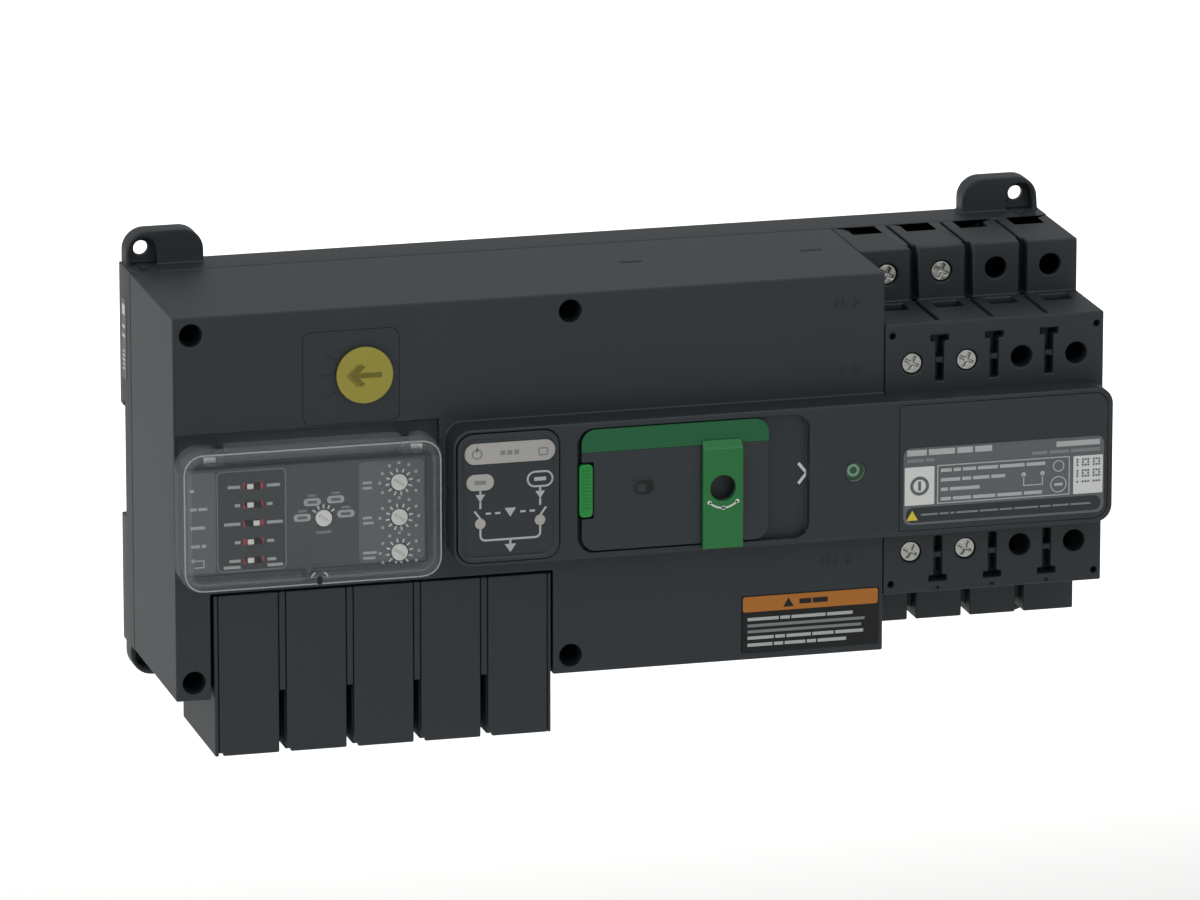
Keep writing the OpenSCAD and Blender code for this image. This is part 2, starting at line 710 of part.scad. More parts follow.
module clear_cover() {
    color([0.8, 0.85, 0.88, 0.35]) difference() {
        union() {
            difference() {
                lid_body(0, front - gap);
                lid_body(lid_wall, front + 1);
            }
            // hinge eyes, each hung from the end wall by an arm
            for (i = [0, 1]) {
                bar(pin_x[i] - eye_w / 2, pin_x[i] + eye_w / 2, pin_y, pin_z, lug_d);
                block(pin_x[i] - eye_w / 2, pin_x[i] + eye_w / 2, pin_y - lug_d / 2, pin_y + lug_d / 2, pin_z,
                      lid_top - 0.4);
            }
            // loop for a sealing wire
            plate(left + lid_w / 2 - 0.2, lid_bottom + 4.4, 7, 5.6, 1.5, front - lid_out + 0.4, front - gap);
        }
        for (i = [0, 1]) {
            bar(pin_x[i] - 3, pin_x[i] + 3, pin_y, pin_z, pin_d + 2 * run);
            // room for the lug to pass the top wall as the cover opens
            block(lug_x(i) - gap, lug_x(i) + lug_w + gap, pin_y - 3.2, front + 1, pin_z + 1, lid_top + 1);
        }
        rod(left + lid_w / 2 - 0.2, lid_bottom + 4.6, 2.2, front - lid_out - 1, front);
    }
}

module lid_pins() {
    color(zinc)
        for (i = [0, 1]) {
            s = i == 0 ? 1 : -1;
            x0 = pin_x[i] - s * (eye_w / 2 + 0.4);
            x1 = pin_x[i] + s * (eye_w / 2 + gap + lug_w);
            bar(min(x0, x1), max(x0, x1), pin_y, pin_z, pin_d);
        }
}

// ---------------------------------------------------------------- nose

module mimic_panel() {
    color(grey) difference() {
        plate(mimic_x, nose_z, mimic[0] - 0.3, mimic[1] - 0.3, 4.9, nose_front - 0.4, nose_front + wall);
        plate(mimic_x, nose_z, mimic[0] - 3.4, mimic[1] - 3.4, 3.6, nose_front - 1, nose_front + 0.2);
        for (x = [-9.6, 9.6]) rod(mark_x + x, nose_z + bar_z - 22.5, 3.6, nose_front - 1, nose_front + wall + 1);
        plate(mark_x, nose_z + bar_z, 29.4, 6.9, 3.4, nose_front - 1, nose_front + wall + 1);
        plate(mark_x - 9.6, nose_z + bar_z - 9.2, 9, 5.4, 2.6, nose_front - 1, nose_front + wall + 1);
    }
}

module mimic_lights() {
    color("#d9d7d2") {
        for (x = [-9.6, 9.6]) rod(mark_x + x, nose_z + bar_z - 22.5, 3.5, nose_front + 0.1, nose_front + wall + 2);
        plate(mark_x, nose_z + bar_z, 29.3, 6.8, 3.35, nose_front + 0.1, nose_front + wall + 2);
        plate(mark_x - 9.6, nose_z + bar_z - 9.2, 8.9, 5.3, 2.55, nose_front + 0.1, nose_front + wall + 2);
    }
}

module selector_bezel() {
    color(dark) difference() {
        plate(bezel_x, bezel_z, bezel[0] - 0.3, bezel[1] - 0.3, 2.9, front, front + 0.5);
        rod(selector_x, selector_z, 7, front - e, front + 1);
        for (a = [150, 180, 210])
            translate([selector_x, 0, selector_z]) rotate([0, -a, 0])
                block(selector_d / 2 + 1.5, selector_d / 2 + 4.6, front - e, front + 0.2, -0.5, 0.5);
    }
}

module selector_dial() {
    color("#b8aa38") difference() {
        union() {
            rod(selector_x, selector_z, selector_d, front - 1.6, front - 0.3);
            rod(selector_x, selector_z, 6, front - 1, front + 8.5);
        }
        // arrow that points away from the poles
        translate([selector_x, 0, selector_z]) {
            block(-5, 5.4, front - 2, front - 1.1, -0.5, 0.5);
            for (s = [-1, 1])
                translate([-5.4, 0, 0]) rotate([0, s * 45, 0]) block(-0.4, 4.8, front - 2, front - 1.1, -0.5, 0.5);
        }
    }
}

module slider_plate() {
    x0 = slide_x0;
    color(grey) difference() {
        union() {
            plate(x0 + slide_w / 2, window_z, slide_w, slide_h, 4.6, nose_front, slide_back);
            block(x0 + 2, x0 + slide_w - 4, slide_back - 0.9, slide_back,
                  window_z - slide_h / 2 - flange, window_z + slide_h / 2 + flange);
            plate(x0 + 19.9, window_z + 0.2, 6.2, 4.8, 2, nose_front - 0.9, nose_front + 1);
        }
        // seat of the green band, handle's hole, stem's slot and the catch's notch
        block(x0 - 1, x0 + slide_w + 1, nose_front - e, nose_front + 0.8,
              window_z + slide_h / 2 - band_h - 0.05, window_z + slide_h / 2 + e);
        rod(key_x, key_z, key_d, nose_front - 1, slide_back + 1);
        block(key_x - stem[0] / 2 - gap, key_x + stem[0] / 2 + gap, nose_front - 1, slide_back + 1,
              stem_z - stem[1] / 2 - gap, stem_z + stem[1] / 2 + gap);
        block(x0 - 1, x0 + catch_w - 1, nose_front - 1, slide_back + 1, window_z - catch_h / 2 - 0.5,
              window_z + catch_h / 2 + 0.5);
    }
}

module slider_band() {
    color("#256d3e") intersection() {
        plate(slide_x0 + slide_w / 2, window_z, slide_w, slide_h, 4.6, nose_front, nose_front + 0.8);
        block(slide_x0 - 1, slide_x0 + slide_w + 1, nose_front - 1, nose_front + 1,
              window_z + slide_h / 2 - band_h, window_z + slide_h / 2 + 1);
    }
}

module slider_catch() {
    color(green)
        plate(slide_x0 + catch_w / 2 - 1.05, window_z, catch_w - 0.5, catch_h - 0.2, 1.4, nose_front - 0.3,
              nose_front + 1.6);
}

module lock_tab() {
    color(green) difference() {
        union() {
            // front plate, with a ramp at its head
            along_x(key_x - tab_w / 2, key_x + tab_w / 2)
                polygon([[nose_front - gap, tab_z0 + 0.8], [nose_front - gap, tab_z1],
                         [nose_front - tab_t, tab_z1 - 2.8], [nose_front - tab_t, tab_z0 + 0.8],
                         [nose_front - tab_t + 0.7, tab_z0], [nose_front - gap - 0.2, tab_z0]]);
            block(key_x - stem[0] / 2, key_x + stem[0] / 2, nose_front - 1, nose_front + stem_l,
                  stem_z - stem[1] / 2, stem_z + stem[1] / 2);
        }
        rod(key_x, key_z, key_d, nose_front - tab_t - 1, nose_front + 1);
    }
}

module position_lens() {
    color([0.85, 0.95, 0.9, 0.4]) rod(lens_x, lens_z, lens_d - 0.1, nose_front + 0.2, nose_front + 1.6);
}

// ---------------------------------------------------------------- mechanism

module drive_shaft() {
    color("#9aa0a4") difference() {
        union() {
            rod(drive_x, drive_z, drive_d, slide_floor + 0.4, crank_y + crank_t);
            // crank arm and its pin
            rod(drive_x, drive_z, 12, crank_y, crank_y + crank_t);
            block(drive_x, drive_x + crank_r, crank_y, crank_y + crank_t, drive_z - 3.5, drive_z + 3.5);
            rod(drive_x + crank_r, drive_z, 7, crank_y, crank_y + crank_t);
            rod(drive_x + crank_r, drive_z, crank_pin, crank_y, shaft_y - lever_r + 4.5);
        }
        // hexagonal socket for the handle
        translate([drive_x, slide_floor + 10, drive_z]) rotate([90, 0, 0])
            cylinder(d = 5.5, h = 12, $fn = 6);
    }
}

module drive_gear() {
    color("#c9b458") difference() {
        translate([drive_x, 0, drive_z]) stand(gear_y, gear_y + gear_t) rotate(mesh_deg) teeth(drive_teeth);
        rod(drive_x, drive_z, drive_d, gear_y - 1, gear_y + gear_t + 1);
        for (a = [0:60:300])
            translate([drive_x + 11 * cos(a), 0, drive_z + 11 * sin(a)]) rod(0, 0, 5, gear_y - 1, gear_y + gear_t + 1);
    }
}

// Turned so that a gap meets the drive gear's tooth.
module motor_pinion() {
    drive_phase = (pinion_deg - mesh_deg) * drive_teeth / 360;
    lead = (drive_phase - floor(drive_phase)) * 360 / pinion_teeth;
    color("#b5babd") difference() {
        translate([pinion_x, 0, pinion_z]) stand(gear_y, gear_y + gear_t)
            rotate(pinion_deg + 180 + 180 / pinion_teeth + lead) teeth(pinion_teeth);
        rod(pinion_x, pinion_z, 3, gear_y - 1, gear_y + gear_t + 1);
    }
}

module motor() {
    color("#8d9195") {
        rod(pinion_x, pinion_z, 24, frame_y + frame_t + 0.2, frame_y + frame_t + 34);
        rod(pinion_x, pinion_z, 7, frame_y - 0.5, frame_y + frame_t + 1);
        rod(pinion_x, pinion_z, 2.9, gear_y + 0.2, frame_y + 1);
        rod(pinion_x, pinion_z, 8, frame_y + frame_t + 33, frame_y + frame_t + 36);
    }
}

module indicator_wheel() {
    color("#e8e8e4") difference() {
        union() {
            translate([wheel_x, 0, wheel_z]) stand(gear_y, gear_y + gear_t)
                rotate(mesh_deg + 180 + 180 / wheel_teeth) teeth(wheel_teeth);
            rod(wheel_x, wheel_z, 6, face_y, gear_y + 1);
            // disc that carries the marks
            rod(wheel_x, wheel_z, 2 * (mark_r + wheel_rim), face_y, face_y + 1.2);
        }
        rod(wheel_x, wheel_z, 3 + 2 * run, face_y - 1, gear_y + gear_t + 1);
    }
}

module mechanism_frame() {
    x0 = drive_x - 24;
    x1 = poles_x - wall - 2;
    z0 = pinion_z - 19;
    z1 = rail_z + rail_h / 2 + 12;
    color("#a8adb0") difference() {
        union() {
            block(x0, x1, frame_y, frame_y + frame_t, z0, z1);
            // feet that reach the rear shell
            for (x = [x0 + 4, lens_x - 8])
                for (z = [z0 + 4, z1 - 4]) rod(x, z, 6, frame_y + 1, -3);
            rod(wheel_x, wheel_z, 3, face_y + 0.2, frame_y + 1);
            // bearing of the main shaft
            block(shaft_x0 - 6, shaft_x0 - 2, frame_y + 1, shaft_y + 7, drive_z - 24, drive_z - 19);
            block(shaft_x0 - 6, shaft_x0 - 2, shaft_y - 7, shaft_y + 7, drive_z - 24, drive_z + 7);
        }
        rod(drive_x, drive_z, drive_d + 2 * run, frame_y - 1, frame_y + frame_t + 1);
        rod(pinion_x, pinion_z, 7.6, frame_y - 1, frame_y + frame_t + 1);
        bar(shaft_x0 - 7, shaft_x0 - 1, shaft_y, drive_z, journal_d + 2 * run);
    }
}

// Hexagonal shaft with its lever, and a round journal at the mechanism's end.
module main_shaft() {
    lever_x = drive_x + crank_r;
    prong = 3;
    off = (crank_pin / 2 + prong / 2 + 0.2) / cos(throw_deg);
    hex_end = poles_x + pole_pitch * fitted - 2.6;
    color("#8e9498") {
        translate([shaft_x0, shaft_y, drive_z]) rotate([0, 90, 0])
            cylinder(d = hex_af / cos(30), h = hex_end - shaft_x0, $fn = 6);
        bar(shaft_x0 - 7, shaft_x0 + 1, shaft_y, drive_z, journal_d);
        bar(hex_end - 1, hex_end + 4.4, shaft_y, drive_z, journal_d);
        // lever, and the two rollers that hold the crank's pin between them
        for (s = [-1, 1]) {
            bar(lever_x - 4, lever_x + 4, shaft_y - lever_r, drive_z + s * off, prong);
            translate([lever_x + 4, 0, 0]) along_x(0, 2.5)
                polygon([[shaft_y, drive_z], [shaft_y, drive_z + s * 4],
                         [shaft_y - lever_r - 1.5, drive_z + s * (off + 1.5)],
                         [shaft_y - lever_r - 1.5, drive_z + s * (off - 1.5)]]);
        }
    }
}

module moving_contacts() {
    color(copper)
        for (k = [0:fitted - 1])
            difference() {
                x = pole_x(k);
                union() {
                    bar(x - 4, x + 4, shaft_y, drive_z, 12);
                    block(x - 2.5, x + 2.5, shaft_y - 1.5, shaft_y + 1.5, drive_z + 4, drive_z + arm_l);
                    block(x - 3.5, x + 3.5, shaft_y - tip_t / 2, shaft_y + tip_t / 2, drive_z + arm_l - 5,
                          drive_z + arm_l);
                }
                translate([x - 5, shaft_y, drive_z]) rotate([0, 90, 0])
                    cylinder(d = hex_af / cos(30), h = 10, $fn = 6);
            }
}

// A fixed contact of flat copper: pad beside the arm's tip, riser, and tongue in its clamp.
module fixed_contact(x, side, clamp_y, clamp_z) {
    tip_z = drive_z + cos(throw_deg) * (arm_l - 2.5);
    pad_y = shaft_y - side * (arm_l * sin(throw_deg) + tip_t / 2 * cos(throw_deg) + 0.4 + strap / 2);
    link_z = clamp_z - cage_h / 2 - 3;
    block(x - 3.5, x + 3.5, pad_y - strap / 2, pad_y + strap / 2, tip_z - 4, link_z + strap);
    block(x - 3.5, x + 3.5, min(clamp_y, pad_y) - strap / 2, max(clamp_y, pad_y) + strap / 2, link_z,
          link_z + strap);
    block(x - 3.5, x + 3.5, clamp_y - strap / 2, clamp_y + strap / 2, link_z, clamp_z - 3.4);
}

module si_contacts() {
    color(copper) for (k = [0:fitted - 1]) fixed_contact(pole_x(k), 1, si_y, si_z - 0.6);
}

module sii_contacts() {
    color(copper) for (k = [0:fitted - 1]) fixed_contact(pole_x(k), -1, sii_y, sii_z - 2.4);
}

module load_contacts() {
    color(copper)
        for (k = [0:fitted - 1]) {
            x = pole_x(k);
            difference() {
                bar(x - 3.5, x + 3.5, shaft_y, drive_z, 17);
                bar(x - 4.5, x + 4.5, shaft_y, drive_z, 12 + 2 * gap);
                block(x - 5, x + 5, shaft_y - 12, shaft_y + 12, drive_z - 5, drive_z + 12);
            }
            link_z = load_z + 0.6 + cage_h / 2 + 1.5;
            block(x - 3.5, x + 3.5, shaft_y - strap / 2, shaft_y + strap / 2, link_z, drive_z - 7);
            block(x - 3.5, x + 3.5, si_y - strap / 2, shaft_y + strap / 2, link_z, link_z + strap);
            block(x - 3.5, x + 3.5, si_y - strap / 2, si_y + strap / 2, load_z + 3.4, link_z + strap);
        }
}

module arc_chutes() {
    z0 = drive_z + arm_l + 3;
    color("#9ea3a6")
        for (k = [0:fitted - 1])
            for (i = [0:3])
                block(pole_x(k) - 6, pole_x(k) + 6, shaft_y - 5, shaft_y + 10, z0 + i * 2.6, z0 + i * 2.6 + 0.8);
}

// A clamp is a square tube along Z, open to its cable entry.
module clamp_at(x, y, z) {
    difference() {
        block(x - 6, x + 6, y - 6.5, y + 6.5, z - cage_h / 2, z + cage_h / 2);
        block(x - 6 + cage, x + 6 - cage, y - 6.5 + cage, y + 6.5 - cage, z - cage_h / 2 - e,
              z + cage_h / 2 + e);
    }
}

module terminal_clamps() {
    color("#b7a24a")
        for (k = [0:fitted - 1]) {
            clamp_at(pole_x(k), si_y, si_z - 0.6);
            clamp_at(pole_x(k), si_y, load_z + 0.6);
            clamp_at(pole_x(k), sii_y, sii_z - 2.4);
        }
}

module terminal_screw(x, y_face, y_clamp, z) {
    difference() {
        union() {
            rod(x, z, port_d - 0.5, y_face + 0.7, y_face + 3.6);
            rod(x, z, 5, y_face + 3, y_clamp);
        }
        translate([x, 0, z]) rotate([0, 28, 0]) {
            block(-2.4, 2.4, y_face, y_face + 2, -0.45, 0.45);
            block(-0.45, 0.45, y_face, y_face + 2, -2.4, 2.4);
        }
    }
}

module terminal_screws() {
    color(zinc)
        for (k = [0:fitted - 1]) {
            terminal_screw(pole_x(k), front, si_y - 6.5, si_z);
            terminal_screw(pole_x(k), front, si_y - 6.5, load_z);
            terminal_screw(pole_x(k), sii_front, sii_y - 6.5, sii_z);
        }
}

module control_board() {
    color("#2c6b45") block(panel_x0 + 3, nose_x + 34, board_y, board_y + 1.6, lid_bottom + 2, 26);
}

module power_transformer() {
    x = left + 30;
    color("#5b5144") {
        block(x - 13, x + 13, board_y + 1.6, board_y + 27, -6, 20);
        block(x - 9, x + 9, board_y + 5, board_y + 24, -10, 24);
    }
}

module control_relays() {
    color("#3f66a0")
        for (i = [0:2])
            block(left + 52 + i * 17, left + 66 + i * 17, board_y + 1.6, board_y + 17, -12, 6);
}

rear_housing();
front_cover();
pole_housing();
cover_screws();
rail_clip_left();
rail_clip_right();
nameplate();
nameplate_label();
hazard_label();
side_label();
accessory_block();
for (i = [1:acc_count]) accessory_cover(i);
settings_panel();
dip_switches();
for (i = [1:5]) dip_knob(i);
dial_bases();
for (i = [1:4]) dial(i);
clear_cover();
lid_pins();
mimic_panel();
mimic_lights();
selector_bezel();
selector_dial();
slider_plate();
slider_band();
slider_catch();
lock_tab();
position_lens();
drive_shaft();
drive_gear();
motor_pinion();
motor();
indicator_wheel();
mechanism_frame();
main_shaft();
moving_contacts();
si_contacts();
sii_contacts();
load_contacts();
arc_chutes();
terminal_clamps();
terminal_screws();
control_board();
power_transformer();
control_relays();
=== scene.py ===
# %% [markdown]
# # An automatic transfer switch
#
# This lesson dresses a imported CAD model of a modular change-over switch. The CAD
# model gives every piece its place and size. Here each visible piece gets moulded
# edges, printed marks and a finish that is worked out from the real material.

import json
import math

import bmesh
import bpy
from mathutils import Matrix, Vector

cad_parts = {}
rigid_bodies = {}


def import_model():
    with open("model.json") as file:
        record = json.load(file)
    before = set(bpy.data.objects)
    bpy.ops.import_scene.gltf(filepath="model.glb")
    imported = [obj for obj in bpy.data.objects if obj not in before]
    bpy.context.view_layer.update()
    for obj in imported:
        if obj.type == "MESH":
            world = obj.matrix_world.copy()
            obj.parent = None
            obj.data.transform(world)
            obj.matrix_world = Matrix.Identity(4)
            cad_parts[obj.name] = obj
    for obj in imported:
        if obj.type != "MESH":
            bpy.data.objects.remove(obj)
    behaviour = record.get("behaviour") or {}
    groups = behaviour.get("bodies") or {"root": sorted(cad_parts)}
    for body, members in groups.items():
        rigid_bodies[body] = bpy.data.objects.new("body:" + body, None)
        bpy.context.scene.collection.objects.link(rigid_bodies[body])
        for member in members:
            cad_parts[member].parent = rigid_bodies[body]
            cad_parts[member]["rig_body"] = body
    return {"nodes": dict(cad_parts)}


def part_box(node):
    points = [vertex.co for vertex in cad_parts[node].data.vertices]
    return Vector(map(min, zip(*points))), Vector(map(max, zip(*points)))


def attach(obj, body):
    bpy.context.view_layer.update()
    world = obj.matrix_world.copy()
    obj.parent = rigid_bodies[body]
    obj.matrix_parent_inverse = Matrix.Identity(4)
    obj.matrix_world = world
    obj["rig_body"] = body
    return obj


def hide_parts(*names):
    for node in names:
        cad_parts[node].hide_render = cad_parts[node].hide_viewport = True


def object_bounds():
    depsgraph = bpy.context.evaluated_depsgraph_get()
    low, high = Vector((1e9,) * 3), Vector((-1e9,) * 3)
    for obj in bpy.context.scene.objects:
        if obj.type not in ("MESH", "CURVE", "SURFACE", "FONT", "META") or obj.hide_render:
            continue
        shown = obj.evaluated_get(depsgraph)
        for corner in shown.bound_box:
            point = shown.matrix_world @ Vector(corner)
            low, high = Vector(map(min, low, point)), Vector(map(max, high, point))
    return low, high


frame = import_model()
cad_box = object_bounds()
nodes = frame["nodes"]

# %% [markdown]
# ## Places taken from the frame
#
# Everything below is placed from the boxes of CAD nodes, so nothing is measured
# twice. Lengths are written in millimetres and turned into metres by one factor.
# The switch is seen from the front, so a mark's place is given as (x, z).

# %% Planes and centres
MM = 0.001


def low(node):
    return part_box(node)[0] / MM


def high(node):
    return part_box(node)[1] / MM


def centre(node):
    return (low(node) + high(node)) / 2


front_y = low("hazard_label").y
nose_y = low("nameplate").y
panel_y = low("settings_panel").y
print(f"front plane {front_y:.1f}, nose {nose_y:.1f}, panel {panel_y:.1f} mm")

# %% [markdown]
# ## The camera first
#
# A long lens from the upper left flattens the perspective, as in a catalogue view.
# The camera is 2.9 m away, turned 15 degrees to the left and tipped 15 degrees down.

# %% Camera
CAMERA_AT = (-0.78388, -2.95943, 0.80813)
TILT, TURN, LENS = 75.03, -14.95, 296.5

camera_data = bpy.data.cameras.new("camera")
camera_data.lens = LENS
camera_data.sensor_width = 36
camera = bpy.data.objects.new("camera", camera_data)
camera.location = CAMERA_AT
camera.rotation_euler = (math.radians(TILT), 0, math.radians(TURN))
bpy.context.scene.collection.objects.link(camera)
bpy.context.scene.camera = camera
print("camera lens", LENS, "mm")

# %% [markdown]
# ## Soft studio light
#
# Dark matt plastic shows its form by what it reflects. A white room gives every
# face a soft even sheen, which grows on faces seen at a flat angle, such as the
# top. Large lamps above, at the left and in front then separate the faces. A fourth
# lamp lies low behind the switch and lights only the paper, so the ground is white.

# %% World and lamps
ROOM_LIGHT = 0.5
scene = bpy.context.scene
scene.view_settings.view_transform = "Standard"
world = bpy.data.worlds.new("studio")
scene.world = world
world.use_nodes = True
world.node_tree.nodes["Background"].inputs["Color"].default_value = (1, 1, 1, 1)
world.node_tree.nodes["Background"].inputs["Strength"].default_value = ROOM_LIGHT


def lamp(name, place, aim, size, power):
    data = bpy.data.lights.new(name, "AREA")
    data.shape = "RECTANGLE"
    data.size, data.size_y = size
    data.energy = power
    thing = bpy.data.objects.new(name, data)
    thing.location = place
    thing.rotation_euler = (Vector(aim) - Vector(place)).to_track_quat("-Z", "Y").to_euler()
    scene.collection.objects.link(thing)
    return thing


lamp("top_lamp", (0.1, -0.3, 1.3), (0, -0.04, 0), (1.2, 0.8), 3)
lamp("left_lamp", (-1.3, -0.5, 0.5), (0, -0.04, 0), (0.8, 0.8), 4.5)
lamp("front_lamp", (0.5, -1.6, 0.9), (0.05, -0.08, 0), (0.7, 0.5), 3.5)
lamp("ground_lamp", (0.4, 1.9, 0.0), (0.4, 1.9, -0.4), (1.8, 2.2), 14)
print("lamps:", len(bpy.data.lights))

# %% [markdown]
# ## A small kit for materials
#
# One function turns a colour written as sRGB hex into the linear values that
# shaders use, and one adds a node with its settings and links.

# %% Colour and node helpers
def linear(hex_colour):
    parts = [int(hex_colour[i : i + 2], 16) / 255 for i in (1, 3, 5)]
    return tuple(c / 12.92 if c <= 0.04045 else ((c + 0.055) / 1.055) ** 2.4 for c in parts) + (1.0,)


def add(owner, kind, settings=None, links=None, **values):
    """Adds a node to a material or a tree: settings are attributes, values are sockets."""
    tree = getattr(owner, "node_tree", owner)
    node = tree.nodes.new(kind)
    for key, value in (settings or {}).items():
        setattr(node, key, value)
    for key, value in values.items():
        node.inputs[key.replace("_", " ")].default_value = value
    for socket, source in (links or {}).items():
        tree.links.new(source, node.inputs[socket])
    return node


def new_material(name):
    material = bpy.data.materials.new(name)
    material.use_nodes = True
    material.node_tree.nodes.clear()
    return material


def finish_with(material, shader):
    add(material, "ShaderNodeOutputMaterial", links={"Surface": shader.outputs[0]})
    return material


# %% [markdown]
# ## Moulded plastic
#
# The shells are injection-moulded polycarbonate. The tool is spark-eroded, which
# leaves a fine even grain that breaks up the sheen. The real grain is about
# 0.05 mm; it is drawn at 0.35 mm so that it shows. A slow change of colour and
# gloss stands for the melt's flow and for handling.

# %% Moulded plastics
GRAIN_MM = 0.35
FLOW_MM = 45


def moulded(name, colour, rough=0.5, grain=0.16, shine=0.5, grain_mm=GRAIN_MM, spread=0.12):
    material = new_material(name)
    place = add(material, "ShaderNodeTexCoord").outputs["Object"]
    flow = add(material, "ShaderNodeTexNoise", links={"Vector": place}, Scale=1 / (FLOW_MM * MM), Detail=3)
    fine = add(material, "ShaderNodeTexNoise", links={"Vector": place}, Scale=1 / (grain_mm * MM), Detail=2)
    base = linear(colour)
    light = tuple(c * (1 + spread) for c in base[:3]) + (1,)
    deep = tuple(c * (1 - spread) for c in base[:3]) + (1,)
    tint = add(material, "ShaderNodeMix", {"data_type": "RGBA"}, {"Factor": flow.outputs["Fac"]})
    tint.inputs[6].default_value = deep
    tint.inputs[7].default_value = light
    gloss = add(
        material,
        "ShaderNodeMapRange",
        links={"Value": fine.outputs["Fac"]},
        To_Min=rough - 0.05,
        To_Max=rough + 0.07,
    )
    bump = add(
        material,
        "ShaderNodeBump",
        links={"Height": fine.outputs["Fac"]},
        Strength=grain,
        Distance=0.05 * MM,
    )
    shader = add(
        material,
        "ShaderNodeBsdfPrincipled",
        links={
            "Base Color": tint.outputs[2],
            "Roughness": gloss.outputs["Result"],
            "Normal": bump.outputs["Normal"],
        },
        IOR=1.5,
        Specular_IOR_Level=shine,
    )
    return finish_with(material, shader)


SHELL = moulded("graphite_polycarbonate", "#1f272c", rough=0.52)
POLE = moulded("pole_polyamide", "#20272b", rough=0.55)
NOSE = moulded("nose_polycarbonate", "#22292d", rough=0.45, grain=0.1)
CLIP = moulded("black_acetal", "#191b1d", rough=0.4, grain=0.08)
PANEL = moulded("panel_polycarbonate", "#3b3f42", rough=0.5, grain=0.08)
GREEN = moulded("green_abs", "#106e30", rough=0.38, grain=0.06)
BRIGHT_GREEN = moulded("bright_green_abs", "#0f8a36", rough=0.36, grain=0.06)
YELLOW = moulded("yellow_acetal", "#978e32", rough=0.45, grain=0.08)
WHITE = moulded("white_nylon", "#e6e6e2", rough=0.4, grain=0.05)
RED = moulded("red_polyester", "#c4172b", rough=0.35, grain=0.05)
LIGHT_GUIDE = moulded("light_guide_polycarbonate", "#a8a6a2", rough=0.3, grain=0.03)
RELAY = moulded("blue_relay_case", "#2f5796", rough=0.3, grain=0.03)
print("moulded plastics:", len(bpy.data.materials))

# %% [markdown]
# ## Metals
#
# Zinc plating on screw heads is mottled by its passivated layer. Steel sheet has a
# rolled grain along one way, and brass and copper are bare with fine machining
# marks. Each is a full metal, so only its colour, its roughness and the size,
# stretch and height of its marks differ.

# %% Metals
def metal(name, colour, rough, stretch=(1, 1, 1), mark_mm=0.4, height=0.12):
    material = new_material(name)
    place = add(material, "ShaderNodeTexCoord").outputs["Object"]
    turned = add(material, "ShaderNodeMapping", links={"Vector": place}, Scale=stretch)
    marks = add(
        material,
        "ShaderNodeTexNoise",
        links={"Vector": turned.outputs[0]},
        Scale=1 / (mark_mm * MM),
        Detail=4,
    )
    stain = add(material, "ShaderNodeTexNoise", links={"Vector": place}, Scale=1 / (3 * MM), Detail=3)
    base = linear(colour)
    tint = add(material, "ShaderNodeMix", {"data_type": "RGBA"}, {"Factor": stain.outputs["Fac"]})
    tint.inputs[6].default_value = tuple(c * 0.72 for c in base[:3]) + (1,)
    tint.inputs[7].default_value = tuple(min(1, c * 1.12) for c in base[:3]) + (1,)
    gloss = add(
        material,
        "ShaderNodeMapRange",
        links={"Value": marks.outputs["Fac"]},
        To_Min=rough - 0.08,
        To_Max=rough + 0.12,
    )
    bump = add(
        material,
        "ShaderNodeBump",
        links={"Height": marks.outputs["Fac"]},
        Strength=height,
        Distance=0.05 * MM,
    )
    shader = add(
        material,
        "ShaderNodeBsdfPrincipled",
        links={
            "Base Color": tint.outputs[2],
            "Roughness": gloss.outputs["Result"],
            "Normal": bump.outputs["Normal"],
        },
        Metallic=1.0,
    )
    return finish_with(material, shader)


ZINC = metal("zinc_plated_steel", "#c9c9c4", 0.34)
STEEL = metal("rolled_steel", "#8f9498", 0.36, stretch=(0.1, 1, 1))
BRASS = metal("machined_brass", "#c3a552", 0.3)
COPPER = metal("bare_copper", "#b9733f", 0.34, stretch=(1, 1, 0.15))
CORE = metal("varnished_laminations", "#4c4036", 0.5, stretch=(0.05, 1, 1), mark_mm=0.5, height=0.3)
print("plastics and metals:", len(bpy.data.materials))

# %% [markdown]
# ## Clear cover and printed films
#
# The cover is injection-moulded clear polycarbonate. It is a thin shell, so the
# light bends in and out again, and its slight smoke tint shows best at the edges.
# A trace of haze shows the plastic, and the walls get a paler, denser finish, a painted
# highlight that stands in for their reflections. Prints and labels are matt inks a few
# hundredths of a millimetre thick with fine specks, and are drawn 0.06 mm thick.
# The same thin films also carry painted shade and painted highlights on small parts.

# %% Clear plastics and inks
def clear(name, colour, rough, density):
    material = new_material(name)
    place = add(material, "ShaderNodeTexCoord").outputs["Object"]
    waves = add(material, "ShaderNodeTexNoise", links={"Vector": place}, Scale=1 / (9 * MM), Detail=2)
    bump = add(
        material,
        "ShaderNodeBump",
        links={"Height": waves.outputs["Fac"]},
        Strength=0.05,
        Distance=0.1 * MM,
    )
    haze = add(
        material,
        "ShaderNodeMapRange",
        links={"Value": waves.outputs["Fac"]},
        To_Min=rough * 0.6,
        To_Max=rough * 1.6,
    )
    shader = add(
        material,
        "ShaderNodeBsdfPrincipled",
        links={"Roughness": haze.outputs["Result"], "Normal": bump.outputs["Normal"]},
        IOR=1.45,
        Alpha=density,
    )
    shader.inputs["Base Color"].default_value = linear(colour)
    return finish_with(material, shader)


